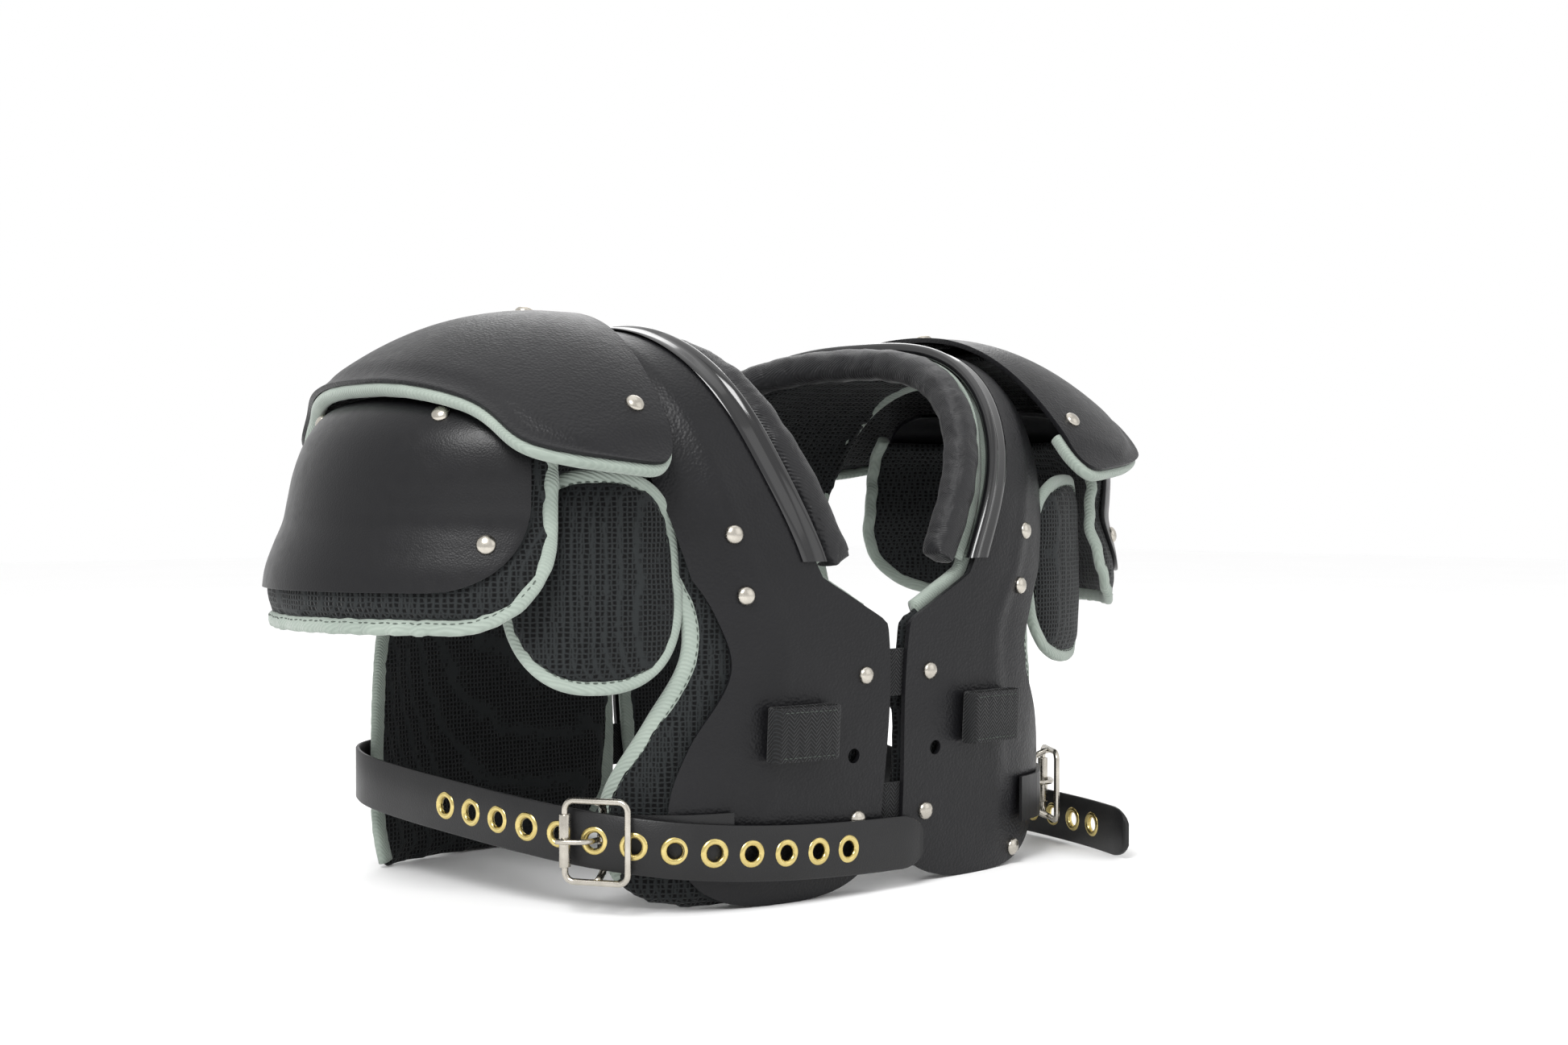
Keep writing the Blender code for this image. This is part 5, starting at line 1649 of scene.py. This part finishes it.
@dataclass
class Rivets:
    """The nickel dome rivets of one side."""

    side: Side
    radius: float = 0.0050
    rise: float = 0.0030
    shell: Tuple[Tuple[float, float], ...] = (
        (0.106, 1.055), (0.100, 0.95), (0.0235, 0.69), (0.119, 1.5), (0.025, 0.235), (0.118, 0.205),
        (0.119, 1.56), (0.024, 2.20), (0.024, 2.68),
    )
    hem: Tuple[Tuple[float, float], ...] = ((0.104, 0.060),)
    flap: Tuple[Tuple[float, float], ...] = ((0.160, -0.114), (0.150, 0.0), (0.160, 0.114))
    dome: Tuple[Tuple[float, float], ...] = ((-52.0, 0.205), (-38.0, 0.80), (38.0, 0.80), (52.0, 0.205))

    def build(self, flap: Epaulet, dome: ShoulderCup) -> None:
        """Set the rivets in the arch, the flap and the dome.

        Args:
            flap: The epaulet on this side.
            dome: The cup on this side.
        """
        word = self.side.word
        maker = Scatter(Hardware.DOME_RIVET, NICKEL, self.radius, self.rise)
        spots = []
        for x, t in self.shell + (self.hem if self.side is Side.LEFT else ()):
            lift = 0.0032 + (0.0018 if (x, t) == (0.119, 1.5) else 0.0)
            spots.append((TORSO.off(x, t, lift), TORSO.normal(x, t)))
        made = maker.make(f"arch_rivets_{word}", spots, self.side, "torso")
        names = ("chest_rivet_upper", "chest_rivet_lower", "link_rivet", "arch_top_rivet")
        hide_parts(*[f"{name}_{word}" for name in names])
        spots = []
        for x, y in self.flap:
            place = flap.at(x, y, flap.wall + 0.0007)
            spots.append((place, (flap.at(x, y, 0.01) - flap.at(x, y, 0.0)).normalized()))
        made = maker.make(f"flap_rivets_{word}", spots, self.side, f"epaulet_{word}")
        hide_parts(f"epaulet_rivet_{word}", f"epaulet_hinge_rivet_{word}")
        spots = []
        for degrees, up in self.dome:
            a = math.radians(degrees)
            place = dome.at(a, up, 0.0)
            across = dome.at(a + 0.02, up, 0.0) - dome.at(a - 0.02, up, 0.0)
            rise = dome.at(a, min(1.0, up + 0.02), 0.0) - dome.at(a, up - 0.02, 0.0)
            spots.append((place, across.cross(rise).normalized()))
        made = maker.make(f"dome_rivets_{word}", spots, self.side, f"cup_{word}")
        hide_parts(f"cup_rivet_{word}")


@dataclass
class WebLoop:
    """The webbing tunnel on a chest plate: a band folded flat into a ring and stitched down its edges."""

    side: Side
    centre_x: float = 0.068
    half_width: float = 0.0163
    middle_z: float = 0.0905
    half_height: float = 0.0140
    seat: float = 0.0046
    fold: float = 0.0042
    thick: float = 0.0015

    def spot(self, across: float, lift: float, z: float = 0.0) -> Vector:
        """A point by its distance across the plate, off it and above the middle."""
        return TORSO.off(self.centre_x + across, (self.middle_z + z) / TORSO.spring_z, lift)

    def build(self) -> None:
        """Make the band and two rows of stitches."""
        near, far = self.seat, self.seat + 2 * self.fold
        run = [(u, near) for u in spaced(-self.half_width, self.half_width, 12)]
        for a in spaced(-math.pi / 2, math.pi / 2, 11)[1:-1]:
            run.append((self.half_width + self.fold * math.cos(a), near + self.fold * (1 + math.sin(a))))
        run += [(u, far) for u in spaced(self.half_width, -self.half_width, 12)]
        for a in spaced(math.pi / 2, 3 * math.pi / 2, 11)[1:-1]:
            run.append((-self.half_width + self.fold * math.cos(a), near + self.fold * (1 + math.sin(a))))
        places = [self.spot(u, lift) for u, lift in run]
        up = (self.spot(0, near, 0.01) - self.spot(0, near, -0.01)).normalized()
        h, t = self.half_height, self.thick / 2
        outline = [(t * 0.4, h), (-t * 0.4, h), (-t, h - 0.0006), (-t, 0.0006 - h)]
        outline += [(-t * 0.4, -h), (t * 0.4, -h), (t, 0.0006 - h), (t, h - 0.0006)]
        word = self.side.word
        made = swept(f"chest_loop_{word}", frames_along(places, lambda k: up, True), outline, self.side, True)
        creased(made, PLATE_CREASE)
        ride_and_mark(made, WEBBING, "torso", "black_webbing", f"web_loop_{word}")
        rows = []
        for z in (self.half_height - 0.0024, 0.0024 - self.half_height):
            line = [self.spot(u, far + t, z) for u in spaced(-self.half_width, self.half_width, 20)]
            rows += even_run(line, LOOP_STITCH_PITCH)
        stitches = Scatter(Hardware.STITCH, DARK_THREAD, 0.00034, 0.0011)
        stitches.make(f"chest_loop_stitches_{word}", rows, self.side, "torso")


# ------------------------------------------------------------------ studio


@dataclass
class Studio:
    """The pale floor, the soft lights and the camera."""

    eye: Vector = field(default_factory=lambda: Vector((-0.752, -0.9278, 0.210)))
    forward: Tuple[float, float] = (0.643, 0.766)
    tilt: float = math.radians(0.62)
    lens: float = 46.8

    def floor(self) -> None:
        """A wide pale floor."""
        mesh = bpy.data.meshes.new("floor")
        mesh.from_pydata([(-6, -6, 0), (6, -6, 0), (6, 6, 0), (-6, 6, 0)], [], [(0, 1, 2, 3)])
        made = bpy.data.objects.new("floor", mesh)
        bpy.context.scene.collection.objects.link(made)
        FLOOR.on(made)

    def light(self, name: str, place: Tuple[float, float, float], size: float, power: float) -> None:
        """A soft square light aimed at the pads."""
        lamp = bpy.data.lights.new(name, "AREA")
        lamp.shape, lamp.size, lamp.energy = "SQUARE", size, power
        made = bpy.data.objects.new(name, lamp)
        made.location = place
        aim = Vector((0, 0, 0.15)) - Vector(place)
        made.rotation_euler = aim.to_track_quat("-Z", "Y").to_euler()
        bpy.context.scene.collection.objects.link(made)

    def camera(self) -> None:
        """A level eye at the front right of the wearer."""
        lens = bpy.data.cameras.new("camera")
        lens.lens, lens.sensor_width = self.lens, 36.0
        lens.clip_start = 0.01
        made = bpy.data.objects.new("camera", lens)
        made.location = self.eye
        level = math.cos(self.tilt)
        look = Vector((self.forward[0] * level, self.forward[1] * level, -math.sin(self.tilt)))
        made.rotation_euler = look.to_track_quat("-Z", "Y").to_euler()
        bpy.context.scene.collection.objects.link(made)
        bpy.context.scene.camera = made

    def build(self) -> None:
        """Set up the studio."""
        self.floor()
        self.camera()
        self.light("key_light", (-1.15, -0.75, 1.35), 0.7, 24.0)
        self.light("fill_light", (0.7, -1.5, 0.9), 1.3, 3.5)
        self.light("rim_light", (0.9, 1.1, 1.2), 1.0, 6.0)
        self.light("top_light", (0.0, 0.1, 1.7), 1.4, 4.0)
        world = bpy.data.worlds.new("studio_air")
        world.use_nodes = True
        air = world.node_tree.nodes["Background"]
        air.inputs[0].default_value = linear("#FFFFFF")
        air.inputs[1].default_value = 1.0
        bpy.context.scene.world = world
        bpy.context.scene.view_settings.view_transform = "Standard"


def dress_frame() -> None:
    """Put finishes on the CAD nodes that stay."""
    nodes = frame["nodes"]
    for side in Side:
        for stem in ("epaulet_hinge_leaf", "epaulet_hinge_base", "cup_hinge_leaf", "cup_hinge_base"):
            WEBBING.on(nodes[f"{stem}_{side.word}"])
        STRAP.on(nodes[f"buckle_strap_{side.word}"])
    for stem in ("front_link_upper", "front_link_lower", "back_link_upper", "back_link_lower"):
        WEBBING.on(nodes[stem])
    LOG.info("finishes on %d CAD nodes", len(nodes))


def main() -> None:
    """Build the studio and every sub-assembly in order."""
    logging.basicConfig(level=logging.INFO, format="%(name)s %(message)s")
    Studio().build()
    dress_frame()
    for side in Side:
        flap, dome = Epaulet(side), ShoulderCup(side)
        ArchPlates(side).build()
        Liner(side).build()
        flap.build()
        dome.build()
        WingFlap(side).build()
        WebLoop(side).build()
        Rivets(side).build(flap, dome)
    NeckRoll().build()
    buckled = Belt(Side.RIGHT, BUCKLED_ROUTE, 54, lead=0.056, count=13)
    buckled.strap("side_belt_right", "torso", "belt_right")
    buckled.eyelets("side_belt_right_eyelets", "torso")
    loose = Belt(Side.LEFT, FREE_ROUTE, 30, lead=0.040, count=10)
    loose.strap("side_belt_left", "free_belt", "belt_left")
    loose.eyelets("side_belt_left_eyelets", "free_belt")
    Belt(Side.LEFT, ANCHOR_ROUTE, 9).strap("side_belt_anchor_left", "torso", "belt_anchor_left", False)
    for side in Side:
        Buckle(side, Belt(side, BUCKLED_ROUTE, 54)).build()


if __name__ == "__main__":
    main()
